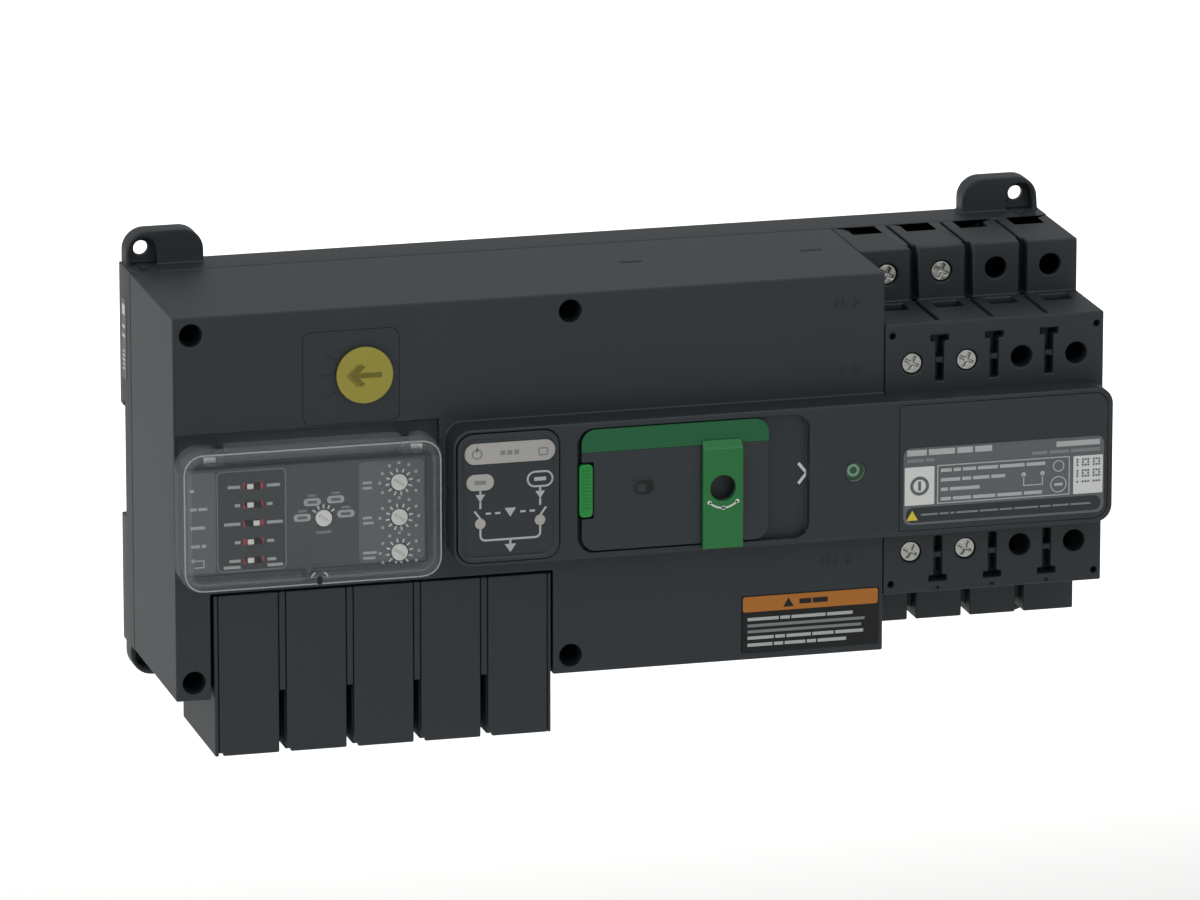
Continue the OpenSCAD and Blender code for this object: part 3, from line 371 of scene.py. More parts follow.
def ink(name, colour, rough=0.6):
    material = new_material(name)
    place = add(material, "ShaderNodeTexCoord").outputs["Object"]
    speck = add(material, "ShaderNodeTexNoise", links={"Vector": place}, Scale=1 / (0.5 * MM), Detail=3)
    base = linear(colour)
    tint = add(material, "ShaderNodeMix", {"data_type": "RGBA"}, {"Factor": speck.outputs["Fac"]})
    tint.inputs[6].default_value = tuple(c * 0.86 for c in base[:3]) + (1,)
    tint.inputs[7].default_value = tuple(min(1, c * 1.1) for c in base[:3]) + (1,)
    bump = add(
        material,
        "ShaderNodeBump",
        links={"Height": speck.outputs["Fac"]},
        Strength=0.06,
        Distance=0.02 * MM,
    )
    shader = add(
        material,
        "ShaderNodeBsdfPrincipled",
        links={"Base Color": tint.outputs[2], "Normal": bump.outputs["Normal"]},
        Roughness=rough,
        Specular_IOR_Level=0.35,
    )
    return finish_with(material, shader)


CLEAR = clear("smoked_polycarbonate", "#8b9294", 0.1, 0.09)
# Paler and denser than the front: painted highlight on the cover's walls and its inner rim line.
CLEAR_EDGE_HIGHLIGHT = clear("cover_edge_painted_highlight", "#aab1b3", 0.08, 0.13)
# Paler still: painted highlight for the bright line along the cover's outer rim.
CLEAR_RIM_HIGHLIGHT = clear("cover_rim_painted_highlight", "#d0d6d8", 0.12, 0.3)
LENS = clear("lens_polycarbonate", "#7fa08c", 0.05, 0.1)
WHITE_INK = ink("white_ink", "#d4d6d4")
GREY_INK = ink("grey_ink", "#7d8182")
# Pale ink for print, also used for the painted glints beside the cover's sealing notch.
PALE_INK_AND_GLINTS = ink("pale_ink_and_painted_glints", "#aeb2b2")
# Dark ink for print, also used as painted shade round the slider's nub and in the cover's sealing notch.
DARK_INK_AND_SHADE = ink("dark_ink_and_painted_shade", "#141617")
BLACK_FILM = ink("black_label_film", "#0e1010", 0.55)
GREY_FILM = ink("grey_label_film", "#5f6466", 0.5)
DIM_FILM = ink("panel_overlay_film", "#2d3133", 0.5)
ORANGE_FILM = ink("orange_label_film", "#b16e25", 0.5)
YELLOW_INK = ink("yellow_ink", "#d9c23a")
GREEN_FILM = ink("green_band_film", "#155f38", 0.45)
GREEN_INK = ink("green_marker_ink", "#9fe3b6", 0.45)
DEEP_GREEN_INK = ink("deep_green_marker_ink", "#123322", 0.45)
# A darker yellow: painted shade for the selector's sunk arrow.
ARROW_RECESS_SHADE = ink("arrow_recess_painted_shade", "#6a651f", 0.6)
BOARD = ink("solder_mask_green", "#1f5c39", 0.3)
print("materials in all:", len(bpy.data.materials))

# %% [markdown]
# ## Each CAD node's finish
#
# Every node gets its material by what the real piece is made of. Nodes whose shape
# is already right keep their CAD mesh, and only their material changes.

# %% Finishes by node
FINISH = {
    SHELL: ["rear_housing", "front_cover", "selector_bezel"],
    POLE: ["pole_housing", "accessory_block"],
    NOSE: ["nameplate", "mimic_panel", "slider_plate"],
    CLIP: ["rail_clip_left", "rail_clip_right"],
    PANEL: ["settings_panel"],
    CLEAR: ["clear_cover"],
    LENS: ["position_lens"],
    LIGHT_GUIDE: ["mimic_lights"],
    YELLOW: ["selector_dial"],
    GREEN: ["lock_tab"],
    BRIGHT_GREEN: ["slider_catch"],
    GREEN_FILM: ["slider_band"],
    RED: ["dip_switches"],
    WHITE: ["dial_bases", "indicator_wheel"],
    ZINC: ["cover_screws", "terminal_screws", "lid_pins"],
    STEEL: ["drive_shaft", "motor_pinion", "motor", "mechanism_frame", "main_shaft", "arc_chutes"],
    BRASS: ["drive_gear", "terminal_clamps"],
    COPPER: ["moving_contacts", "si_contacts", "sii_contacts", "load_contacts"],
    CORE: ["power_transformer"],
    RELAY: ["control_relays"],
    BOARD: ["control_board"],
    GREY_FILM: ["nameplate_label", "side_label"],
    BLACK_FILM: ["hazard_label"],
}
FINISH[SHELL] += [name for name in nodes if name.startswith("accessory_cover")]
FINISH[WHITE] += [name for name in nodes if name.startswith(("dip_knob", "dial_")) and name != "dial_bases"]
finish_of = {name: material for material, names in FINISH.items() for name in names}
for name, thing in nodes.items():
    thing.data.materials.clear()
    thing.data.materials.append(finish_of[name])
print("finished nodes:", len(finish_of), "of", len(nodes))

# %% [markdown]
# ## Rounded edges on moulded pieces
#
# No moulded piece has a knife edge: the tool's corners are rounded by about half a
# millimetre, and that thin round catches the light. The CAD solids have exact
# sharp edges, so a copy of each is merged, its flat faces are joined, and its sharp
# edges are bevelled. An edge is left alone where a wall next to it is too narrow
# for the round, and the copy then stands for the node.

# %% Edge rounding
SHARP = math.radians(28)  # an edge that turns by more than this is rounded
FLAT = math.radians(0.6)  # faces that turn by less than this are joined
CREASE = math.radians(40)  # shading breaks where faces turn by more than this
MERGE = 2e-6  # corners closer than this, in metres, are one
ALONG, WALL, SHORTEST = 0.75, 2.3, 0.2


def room_beside(edge, width):
    """True if both faces at this edge leave room for a round of this width."""
    along = (edge.verts[1].co - edge.verts[0].co).normalized()
    for loop in edge.link_loops:
        for other in (loop.link_loop_next.edge, loop.link_loop_prev.edge):
            across = other.verts[1].co - other.verts[0].co
            if abs(across.normalized().dot(along)) < ALONG and across.length < WALL * width:
                return False
    return edge.calc_length() > SHORTEST * width


def seat_piece(mesh, material, body, *stands_for, smooth=True):
    """Makes an object of a mesh that is already in place, and rides it on its body."""
    mesh.materials.clear()
    mesh.materials.append(material)
    if smooth:
        mesh.shade_smooth()
        mesh.set_sharp_from_angle(angle=CREASE)
    piece = bpy.data.objects.new(mesh.name, mesh)
    scene.collection.objects.link(piece)
    if smooth:
        even = piece.modifiers.new("even_shading", "WEIGHTED_NORMAL")
        even.keep_sharp = True
    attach(piece, body)
    if stands_for:
        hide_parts(*stands_for)
    return piece


def soften(node, round_mm, steps=2):
    """A copy of a CAD node with rounded edges, which stands for the node."""
    source = nodes[node]
    mesh = bpy.data.meshes.new(node + "_moulding")
    shape = bmesh.new()
    shape.from_mesh(source.data)
    bmesh.ops.remove_doubles(shape, verts=shape.verts, dist=MERGE)
    bmesh.ops.dissolve_limit(shape, angle_limit=FLAT, verts=shape.verts, edges=shape.edges)
    width = round_mm * MM
    sharp = [
        edge
        for edge in shape.edges
        if round_mm
        and len(edge.link_faces) == 2
        and edge.calc_face_angle(0) > SHARP
        and room_beside(edge, width)
    ]
    if sharp:
        bmesh.ops.bevel(
            shape,
            geom=sharp,
            offset=width,
            offset_type="OFFSET",
            segments=steps,
            profile=0.5,
            affect="EDGES",
            clamp_overlap=False,
        )
    bmesh.ops.recalc_face_normals(shape, faces=shape.faces)
    bmesh.ops.triangulate(shape, faces=[f for f in shape.faces if len(f.verts) > 4])
    shape.to_mesh(mesh)
    shape.free()
    return seat_piece(mesh, finish_of[node], source["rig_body"], node)


ROUNDS = {
    0.5: ["rear_housing", "pole_housing"],
    0.55: ["front_cover"],
    0.45: ["lock_tab", "accessory_block"],
    0.4: ["rail_clip_left", "rail_clip_right"],
    0.3: ["slider_plate", "slider_catch", "mimic_panel", "terminal_screws", "selector_dial"],
    0.2: ["nameplate", "settings_panel", "cover_screws", "mimic_lights"],
    0.12: ["dip_switches", "selector_bezel"],
}
ROUNDS[0.5] += [name for name in nodes if name.startswith("accessory_cover")]
ROUNDS[0.2] += [name for name in nodes if name.startswith(("dip_knob", "dial_"))]
for round_mm, names in ROUNDS.items():
    for name in names:
        piece = soften(name, round_mm)
        print(f"{piece.name}: {len(piece.data.polygons)} faces, round {round_mm} mm")

# %% [markdown]
# ## The clear cover's edges
#
# A clear moulding is seen by its edges: the walls are looked at end on, so they hold
# more plastic on the line of sight, and the corners pipe light. The cover's copy
# keeps its thin front nearly invisible and gives its walls a denser, paler finish.
# The density is for the thicker plastic, and the paler colour is painted highlight
# that stands in for the light on the edges.

# %% Clear cover
FACES_FRONT = 0.96
cover = soften("clear_cover", 0)
# The walls take the paler edge finish, which is a painted highlight.
cover.data.materials.append(CLEAR_EDGE_HIGHLIGHT)
for face in cover.data.polygons:
    face.material_index = 0 if abs(face.normal.y) > FACES_FRONT else 1
print("cover faces on its edges:", sum(face.material_index for face in cover.data.polygons))

# %% [markdown]
# ## Flat shapes for prints and marks
#
# Printed lines, arrows and frames are thin closed plates. Their outlines are worked
# out from a few points: a stroke follows a path with mitred corners, a pill is a
# rectangle with round ends. A filled 2D curve turns nested outlines into a plate
# with holes, which is then stood up against the face that carries it.

# %% Outlines
def stroke(points, width):
    """The outline of a line of this width through the points."""
    half = width / 2
    points = [Vector(p) for p in points]
    sides = ([], [])
    for i, point in enumerate(points):
        before = (point - points[i - 1]).normalized() if i else None
        after = (points[i + 1] - point).normalized() if i < len(points) - 1 else None
        ahead = ((before or after) + (after or before)).normalized()
        across = Vector((-ahead.y, ahead.x))
        reach = half / max(0.35, across.dot(Vector((-(after or before).y, (after or before).x))))
        sides[0].append(point + across * reach)
        sides[1].append(point - across * reach)
    return [tuple(p) for p in sides[0] + sides[1][::-1]]


def arc(x, z, radius, start, end, steps=8):
    """Points along an arc, angles in degrees from +X towards +Z."""
    angles = [math.radians(start + (end - start) * i / steps) for i in range(steps + 1)]
    return [(x + radius * math.cos(a), z + radius * math.sin(a)) for a in angles]


def disc(x, z, radius):
    return arc(x, z, radius, 0, 345, 23)


def pill(x, z, width, height, radius=None):
    """A rectangle with round corners, or with round ends if no radius is given."""
    r = min(width, height) / 2 if radius is None else radius
    dx, dz = width / 2 - r, height / 2 - r
    corners = [(dx, dz, 0), (-dx, dz, 90), (-dx, -dz, 180), (dx, -dz, 270)]
    return [p for cx, cz, turn in corners for p in arc(x + cx, z + cz, r, turn, turn + 90, 6)]


def frame_line(x, z, width, height, radius, line):
    """A rounded frame, as an outline and its hole."""
    hole = pill(x, z, width - 2 * line, height - 2 * line, radius - line)
    return [pill(x, z, width, height, radius), hole]


def ring(x, z, outer, inner):
    return [disc(x, z, outer), disc(x, z, inner)]


def triangle(x, z, width, height):
    """A triangle that points down when its height is positive."""
    return [(x - width / 2, z + height / 2), (x + width / 2, z + height / 2), (x, z - height / 2)]


FACING_FRONT = Matrix(((1, 0, 0), (0, 0, -1), (0, 1, 0)))
FACING_LEFT = Matrix(((0, 0, -1), (-1, 0, 0), (0, 1, 0)))
INK_MM = 0.06


def plate_mesh(name, shapes, depth, thick=INK_MM, facing=FACING_FRONT):
    """One mesh of thin plates. Each shape is a list of outlines: the first is filled,
    the others are its holes. Depth is the plane's place, and the plate is in front."""
    joined = bmesh.new()
    for outlines in shapes:
        curve = bpy.data.curves.new(name, "CURVE")
        curve.dimensions = "2D"
        curve.fill_mode = "BOTH"
        curve.extrude = thick / 2 * MM
        for outline in outlines:
            line = curve.splines.new("POLY")
            line.points.add(len(outline) - 1)
            for point, (u, v) in zip(line.points, outline):
                point.co = (u * MM, v * MM, 0, 1)
            line.use_cyclic_u = True
        holder = bpy.data.objects.new(name, curve)
        scene.collection.objects.link(holder)
        made = holder.evaluated_get(bpy.context.evaluated_depsgraph_get())
        flat = bpy.data.meshes.new_from_object(made)
        flat.transform(Matrix.Translation((0, 0, thick / 2 * MM)))
        flat.transform(facing.to_4x4())
        joined.from_mesh(flat)
        bpy.data.objects.remove(holder)
        bpy.data.curves.remove(curve)
        bpy.data.meshes.remove(flat)
    shift = facing @ Vector((0, 0, 1))
    place = Vector((0, depth, 0)) if abs(shift.y) > 0.5 else Vector((depth, 0, 0))
    bmesh.ops.translate(joined, verts=joined.verts, vec=place * MM)
    bmesh.ops.remove_doubles(joined, verts=joined.verts, dist=1e-7)
    bmesh.ops.recalc_face_normals(joined, faces=joined.faces)
    mesh = bpy.data.meshes.new(name)
    joined.to_mesh(mesh)
    joined.free()
    return mesh


def print_on(name, shapes, depth, material, body="housing", slot=None, **how):
    """A printed mark, just in front of a face at this depth. Some of these marks are painted shade and
    painted highlights.
    """
    piece = seat_piece(plate_mesh(name, shapes, depth, **how), material, body, smooth=False)
    print(f"{name}: {len(shapes)} shapes, {len(piece.data.polygons)} faces")
    return piece


# %% [markdown]
# ## Rows and rings by Geometry Nodes
#
# Tick marks, grip ribs and lines of small print repeat, so two small trees make
# them. Each places one bar on every point of a ring or a row. Their inputs carry
# the sizes, the instances are made real, and the result is taken as a plain mesh.

# %% Two trees
def new_tree(name, inputs):
    tree = bpy.data.node_groups.new(name, "GeometryNodeTree")
    tree.interface.new_socket("Geometry", in_out="OUTPUT", socket_type="NodeSocketGeometry")
    for label, kind in inputs.items():
        tree.interface.new_socket(label, in_out="INPUT", socket_type="NodeSocket" + kind)
    return tree, add(tree, "NodeGroupInput").outputs


def close_tree(tree, points, rotation, bar, scale, material):
    links = {"Points": points, "Instance": bar}
    if rotation:
        links["Rotation"] = rotation
    if scale:
        links["Scale"] = scale
    placed = add(tree, "GeometryNodeInstanceOnPoints", links=links)
    real = add(tree, "GeometryNodeRealizeInstances", links={0: placed.outputs[0]})
    painted = add(tree, "GeometryNodeSetMaterial", links={0: real.outputs[0], "Material": material})
    add(tree, "NodeGroupOutput", links={0: painted.outputs[0]})


def ring_tree():
    """Bars that stand like spokes round a centre."""
    sizes = {"Count": "Int", "Centre": "Vector", "Radius": "Float", "Start": "Float", "Step": "Float"}
    tree, given = new_tree("spokes", {**sizes, "Bar": "Vector", "Material": "Material"})
    times, plus = {"operation": "MULTIPLY"}, {"operation": "ADD"}
    index = add(tree, "GeometryNodeInputIndex").outputs[0]
    steps = add(tree, "ShaderNodeMath", times, {0: index, 1: given["Step"]}).outputs[0]
    angle = add(tree, "ShaderNodeMath", plus, {0: given["Start"], 1: steps}).outputs[0]
    cosine = add(tree, "ShaderNodeMath", {"operation": "COSINE"}, {0: angle}).outputs[0]
    sine = add(tree, "ShaderNodeMath", {"operation": "SINE"}, {0: angle}).outputs[0]
    out_x = add(tree, "ShaderNodeMath", times, {0: given["Radius"], 1: cosine}).outputs[0]
    out_z = add(tree, "ShaderNodeMath", times, {0: given["Radius"], 1: sine}).outputs[0]
    offset = add(tree, "ShaderNodeCombineXYZ", links={"X": out_x, "Z": out_z})
    place = add(tree, "ShaderNodeVectorMath", links={0: offset.outputs[0], 1: given["Centre"]})
    points = add(tree, "GeometryNodePoints", links={"Count": given["Count"], "Position": place.outputs[0]})
    back = add(tree, "ShaderNodeMath", times, {0: angle})
    back.inputs[1].default_value = -1
    turn = add(tree, "ShaderNodeCombineXYZ", links={"Y": back.outputs[0]})
    bar = add(tree, "GeometryNodeMeshCube", links={"Size": given["Bar"]})
    close_tree(tree, points.outputs[0], turn.outputs[0], bar.outputs[0], None, given["Material"])
    return tree


def row_tree():
    """Bars in a row, which start at one line and end at random lengths."""
    sizes = {"Count": "Int", "Start": "Vector", "Step": "Vector", "Bar": "Vector", "Shortest": "Float"}
    tree, given = new_tree("row", {**sizes, "Seed": "Int", "Material": "Material"})
    line = add(
        tree,
        "GeometryNodeMeshLine",
        links={"Count": given["Count"], "Start Location": given["Start"], "Offset": given["Step"]},
    )
    length = add(tree, "FunctionNodeRandomValue", {"data_type": "FLOAT"}, {"Seed": given["Seed"]})
    tree.links.new(given["Shortest"], length.inputs[2])
    length.inputs[3].default_value = 1
    scale = add(tree, "ShaderNodeCombineXYZ", links={"X": length.outputs[1]}, Y=1.0, Z=1.0)
    bar = add(tree, "GeometryNodeMeshCube", links={"Size": given["Bar"]})
    half = add(tree, "ShaderNodeVectorMath", {"operation": "MULTIPLY"}, {0: given["Bar"]})
    half.inputs[1].default_value = (0.5, 0, 0)
    moved = add(tree, "GeometryNodeTransform", links={0: bar.outputs[0], "Translation": half.outputs[0]})
    close_tree(tree, line.outputs[0], None, moved.outputs[0], scale.outputs[0], given["Material"])
    return tree


SPOKES = ring_tree()
ROW = row_tree()


def grow(name, tree, material, body="housing", **inputs):
    """Runs a tree with these inputs and seats its result as a plain mesh."""
    holder = bpy.data.objects.new(name, bpy.data.meshes.new(name))
    scene.collection.objects.link(holder)
    modifier = holder.modifiers.new(name, "NODES")
    modifier.node_group = tree
    sockets = {item.name: item.identifier for item in tree.interface.items_tree if item.in_out == "INPUT"}
    for label, value in {**inputs, "Material": material}.items():
        modifier[sockets[label]] = value
    made = holder.evaluated_get(bpy.context.evaluated_depsgraph_get())
    mesh = bpy.data.meshes.new_from_object(made)
    mesh.name = name
    bpy.data.objects.remove(holder)
    piece = seat_piece(mesh, material, body, smooth=False)
    print(f"{name}: {len(piece.data.polygons)} faces")
    return piece


def spokes(name, x, z, depth, radius, count, start, step, length, width, material, body="housing"):
    return grow(
        name, SPOKES, material, body,
        Count=count,
        Centre=Vector((x, depth - INK_MM / 2, z)) * MM,
        Radius=radius * MM,
        Start=math.radians(start),
        Step=math.radians(step),
        Bar=Vector((length, INK_MM, width)) * MM,
    )


def small_print(name, x, z, depth, count, pitch, length, height, material, shortest, seed):
    """Lines that stand for small print, from the line at the top down."""
    return grow(
        name, ROW, material,
        Count=count,
        Start=Vector((x, depth - INK_MM / 2, z)) * MM,
        Step=Vector((0, 0, -pitch)) * MM,
        Bar=Vector((length, INK_MM, height)) * MM,
        Shortest=float(shortest),
        Seed=seed,
    )


print("trees:", SPOKES.name, ROW.name)

# %% [markdown]
# ## The status diagram
#
# The raised panel left of the slider shows both supplies as pills. An arrow runs
# from each to a switch blade over a lamp, and both paths join in one arrow down to
# the load. A dashed line with a triangle marks the interlock between the blades.

# %% Status diagram
LINE = 0.66  # width of the diagram's lines
LAMP_X = 9.6  # from the middle to a supply's line
PILL_Z, BLADE_Z, GUIDE_Z = 5, -5.1, 14.2  # heights over the panel's middle
mid_x = centre("mimic_lights").x
mid_z = centre("mimic_panel").z
diagram_y = nose_y + 0.2


def path(points, width=LINE):
    """A line of the diagram, from points given from the panel's middle."""
    return [stroke([(mid_x + x, mid_z + z) for x, z in points], width)]


paths = []
for side in (-1, 1):
    x = mid_x + side * LAMP_X
    paths.append([stroke([(x, mid_z + 2.3), (x, mid_z + 1.2)], LINE)])
    paths.append([triangle(x, mid_z - 0.1, 3.1, 2.5)])
    paths.append([stroke([(x, mid_z - 1.3), (x, mid_z - 3.4)], LINE)])
    paths.append([stroke([(x + side * 1.9, mid_z - 4.1), (x, mid_z - 6.7)], LINE)])
    turn = 0 if side > 0 else 180
    bend = arc(x - side * 1.6, mid_z - 12.1, 1.6, turn, turn - 90 * side, 6)
    join = (mid_x + side * LINE / 2, mid_z - 13.7)
    paths.append([stroke([(x, mid_z - 10)] + bend + [join], LINE)])
    for step in (0, 1):
        near = x - side * (1.7 + 3.0 * step)
        paths.append([stroke([(near, mid_z + BLADE_Z), (near - side * 1.7, mid_z + BLADE_Z)], LINE)])
paths.append([triangle(mid_x, mid_z + BLADE_Z, 3.7, 2.9)])
paths.append(path([(0, -13.4), (0, -15.3)]))
paths.append([triangle(mid_x, mid_z - 16.65, 3.7, 2.7)])
right_pill = (mid_x + LAMP_X, mid_z + PILL_Z)
paths.append(frame_line(*right_pill, 8.6, 5.3, 2.65, 0.6))
paths.append([stroke([(right_pill[0] + d, right_pill[1]) for d in (-1.9, 1.9)], 1.2)])
print_on("status_diagram", paths, diagram_y, PALE_INK_AND_GLINTS, slot="white_plastic")

# %% Faint symbols on the long light guide: a ring with a bar, dashes and a frame
guide_z = mid_z + GUIDE_Z
guide_y = low("mimic_lights").y
ring_x = mid_x - 10.6
symbols = [ring(ring_x, guide_z, 1.7, 1.25)]
symbols.append([stroke([(ring_x, guide_z + 0.5), (ring_x, guide_z + 2.3)], 0.5)])
for dash in (-3.1, -0.9, 1.3):
    symbols.append([stroke([(mid_x + dash, guide_z), (mid_x + dash + 1.5, guide_z)], 1.4)])
symbols.append(frame_line(mid_x + 10.6, guide_z - 0.4, 3.2, 2.6, 0.6, 0.4))
left_pill = (mid_x - LAMP_X, mid_z + PILL_Z)
symbols.append([stroke([(left_pill[0] + d, left_pill[1]) for d in (-1.8, 1.8)], 1.2)])
print_on("light_guide_symbols", symbols, guide_y, GREY_INK, slot="label_grey")

# %% [markdown]
# ## Slider, lock tab and travel arrow
#
# The slider carries a green band and a lock tab with a turning scale under its key
# hole. The scale is flush: the tab's face is set back by the ink's thickness. A
# white arrow on the recess floor shows which way the slider goes, and the press
# catch at the window's end has fine grip ribs.

# %% Slider marks
tab_y = low("lock_tab").y
key_x, key_z = centre("lock_tab").x, centre("slider_plate").z - 1.6
scale_points = arc(key_x, key_z, 6.3, 224, 316, 10)
scale_marks = [[stroke(scale_points, 0.55)]]
for point in (scale_points[0], scale_points[5], scale_points[-1]):
    scale_marks.append([arc(*point, 0.65, 0, 330, 11)])
tab = next(piece for piece in scene.objects if piece.name == "lock_tab_moulding")
for vertex in tab.data.vertices:
    if vertex.co.y < (tab_y + 0.01) * MM:
        vertex.co.y += INK_MM * MM
print_on("turning_scale", scale_marks, tab_y + INK_MM, WHITE_INK, body="lock", slot="white_plastic")

floor_y = high("slider_plate").y + 0.3
travel_x = high("slider_plate").x + 10.4
chevron = [(travel_x, key_z + 5.1), (travel_x + 2.7, key_z + 1.8), (travel_x, key_z - 1.5)]
print_on("travel_arrow", [[stroke(chevron, 0.95)]], floor_y, WHITE_INK, slot="white_plastic")

nub_x = low("slider_plate").x + 19.9
nub_y = low("slider_plate").y
# The dark pill under the nub is painted shade: a dark ring round the smaller pill of nose plastic, widest at
# its right, stands for the groove and the shadow of the raised nub.
nub_painted_shadow = pill(nub_x, key_z + 1.8, 5.9, 4.5, 2.0)
nub_key = pill(nub_x - 0.9, key_z + 1.7, 2.9, 2.6, 0.7)
print_on("nub_painted_shadow", [[nub_painted_shadow]], nub_y, DARK_INK_AND_SHADE, body="slider", slot="moulding")
print_on("nub_key", [[nub_key]], nub_y - INK_MM, NOSE, body="slider", slot="nose_parts")

catch_low, catch_high = low("slider_catch"), high("slider_catch")
RIB_PITCH = 1.1
rib_count = int((catch_high.z - catch_low.z - 2.2) / RIB_PITCH)
grow(
    "catch_ribs", ROW, BRIGHT_GREEN, "catch",
    Count=rib_count,
    Start=Vector((catch_low.x + 0.7, catch_low.y - 0.05, catch_high.z - 1.2)) * MM,
    Step=Vector((0, 0, -RIB_PITCH)) * MM,
    Bar=Vector((catch_high.x - catch_low.x - 1.6, 0.35, 0.5)) * MM,
    Shortest=1.0,
    Seed=1,
)

# %% [markdown]
# ## Position marks
#
# The wheel behind the small round window carries three marks: a ring for off, one
# bar for the first supply and two bars for the second. The gears turn the wheel
# 46/18 times as far as the drive shaft, so the marks stand 76.7 degrees apart.

# %% Position marks
lens = centre("position_lens")
wheel = centre("indicator_wheel")
wheel_y = low("indicator_wheel").y
mark_r = lens.z - wheel.z
APART = 30 * 46 / 18  # degrees between two marks
GROUND_R, RING_R, RING_HOLE = 3.45, 2.0, 1.2
grounds, marks = [], []
for turn, kind in ((90, "off"), (90 + APART, "second"), (90 - APART, "first")):
    (x, z), = arc(wheel.x, wheel.z, mark_r, turn, turn, 1)[:1]
    grounds.append([disc(x, z, GROUND_R)])
    if kind == "off":
        marks.append(ring(x, z, RING_R, RING_HOLE))
        continue
    out = Vector((math.cos(math.radians(turn)), math.sin(math.radians(turn))))
    aside = Vector((-out.y, out.x))
    for shift in (0,) if kind == "first" else (-0.8, 0.8):
        base = Vector((x, z)) + aside * shift
        marks.append([stroke([base - out * 1.7, base + out * 1.7], 0.7)])
on_wheel = {"body": "indicator", "slot": "green_print"}
print_on("position_grounds", grounds, wheel_y, DEEP_GREEN_INK, **on_wheel)
print_on("position_marks", marks, wheel_y - INK_MM, GREEN_INK, **on_wheel)

# %% [markdown]
# ## Selector arrow and index
#
# The yellow mode selector has a sunk arrow. It is drawn as a flat plate of darker
# yellow on the dial, which is painted shade of the recess, and the bezel shows
# three faint ticks at its left.

# %% Selector
selector = centre("selector_dial")
arrow_y = low("selector_dial").y
TIP, BARB, NOTCH, HALF_SHAFT, END = -4.9, (-1.3, 3.6), (0.1, 2.7), 0.8, 5.3
upper = [BARB, NOTCH, (-2.0, HALF_SHAFT), (END, HALF_SHAFT)]
arrow = [(TIP, 0)] + upper + [(x, -z) for x, z in upper[::-1]]
outline = [(selector.x + x, selector.z + z) for x, z in arrow]
# The arrow plate's darker yellow is painted shade of the recess.
print_on("selector_arrow_shade", [[outline]], arrow_y, ARROW_RECESS_SHADE, body="selector", slot="yellow_plastic")
bezel_y = low("selector_bezel").y + 0.2
spokes("selector_index", selector.x, selector.z, bezel_y, 12.0, 3, 150, 30, 2.9, 0.55, DIM_FILM)

# %% [markdown]
# ## Type label and hazard label
#
# Both are printed films. Their print only has to read as print: rows of bars stand
# for lines of text, a ring and a frame stand for marks, and a plain dot grid fills
# the white field at the right. A word is a bar, so a line of words is a row of bars.

# %% Type label
film_low, film_high = low("nameplate_label"), high("nameplate_label")
film_y = film_low.y
label_x, label_z = film_low.x, film_high.z
OVER_FILM = 0.07  # a second print stands this far over the first


def at(x, z):
    """A place on the type label, measured right and down from its upper left corner."""
    return label_x + x, label_z - z


def on_film(x0, x1, z0, z1, radius=0.3):
    """A rounded field on the type label."""
    return pill(*at((x0 + x1) / 2, (z0 + z1) / 2), x1 - x0, z1 - z0, radius)


def words(x, z, lengths, height, space=0.7):
    """A line of words as bars, from x to the right, with z at mid height."""
    bars = []
    for length in lengths:
        bars.append([pill(x + length / 2, z, length, height, 0.15)])
        x += length + space
    return bars


foot = [on_film(0.9, 65, 19.4, 24.2, 2.2)]
head = [on_film(0.5, 65.5, 0.3, 5.5, 0.8)]
fields = [[on_film(0.4, 10.1, 6.2, 18.6)], [on_film(55.9, 65.6, 6.2, 18.6)]]
print_on("label_foot_field", [foot], film_y, DIM_FILM, slot="label_grey")
print_on("label_head_field", [head], film_y, GREY_FILM, slot="label_grey")
print_on("label_white_fields", fields, film_y, WHITE_INK, slot="white_plastic")

DATA_LINES = ((3.6, 2.4, 4.4, 6.6, 8.2, 6.2), (6.4, 3.0, 5.4, 4.6), (2.4, 9.8), (3.4, 6.0, 7.4, 8.2, 6.0))
box = [on_film(11, 54.7, 6.0, 18.6), on_film(11.35, 54.35, 6.35, 18.25, 0.2)]
signs = [box, ring(*at(51, 15), 2.7, 2.35), ring(*at(51, 9), 1.9, 1.55)]
signs += words(*at(49.6, 15), (2.8,), 0.9)
signs += words(*at(1.1, 1.6), (6.4, 8.6, 5.2, 5.6), 1.9)
signs += words(*at(50.2, 1.9), (14.4,), 1.7)
signs.append([stroke([at(39.5, 11.4), at(39.5, 14.6), at(45.7, 14.6), at(45.7, 11.4)], 0.35)])
signs += [[disc(*at(x, 11), 0.75)] for x in (39.5, 45.7)]
line_x, line_z = at(12.2, 7.8)
for i, line in enumerate(DATA_LINES):
    signs += words(line_x, line_z - 3.1 * i, line, 1.1, 0.6)
print_on("label_lines", signs, film_y - 0.01, PALE_INK_AND_GLINTS, slot="white_plastic")

FOOT_LINE = (5.6, 3.0, 1.4, 7.2, 6.0, 4.2, 8.0, 3.6, 5.4, 6.6)
small = words(*at(1.1, 4.1), (5.4, 2.9), 1.1) + words(*at(42, 4.3), (5.2, 6.4, 9.6), 1.1)
small += words(*at(5.7, 21.8), FOOT_LINE, 0.6, 0.55)
print_on("label_small_words", small, film_y - OVER_FILM, GREY_INK, slot="label_grey")
sign = [ring(*at(5.25, 12.4), 3.1, 2.1), [stroke([at(5.25, 10.9), at(5.25, 13.9)], 0.9)]]
print_on("label_mark", sign, film_y - OVER_FILM, GREY_FILM, slot="label_grey")
notice = [triangle(*at(2.9, 21.9), 3.7, -3.2)]
print_on("label_triangle", [notice], film_y - OVER_FILM, YELLOW_INK, slot="label_grey")
DOTS, DOT_PITCH, DOT = 9, 0.9, 0.6
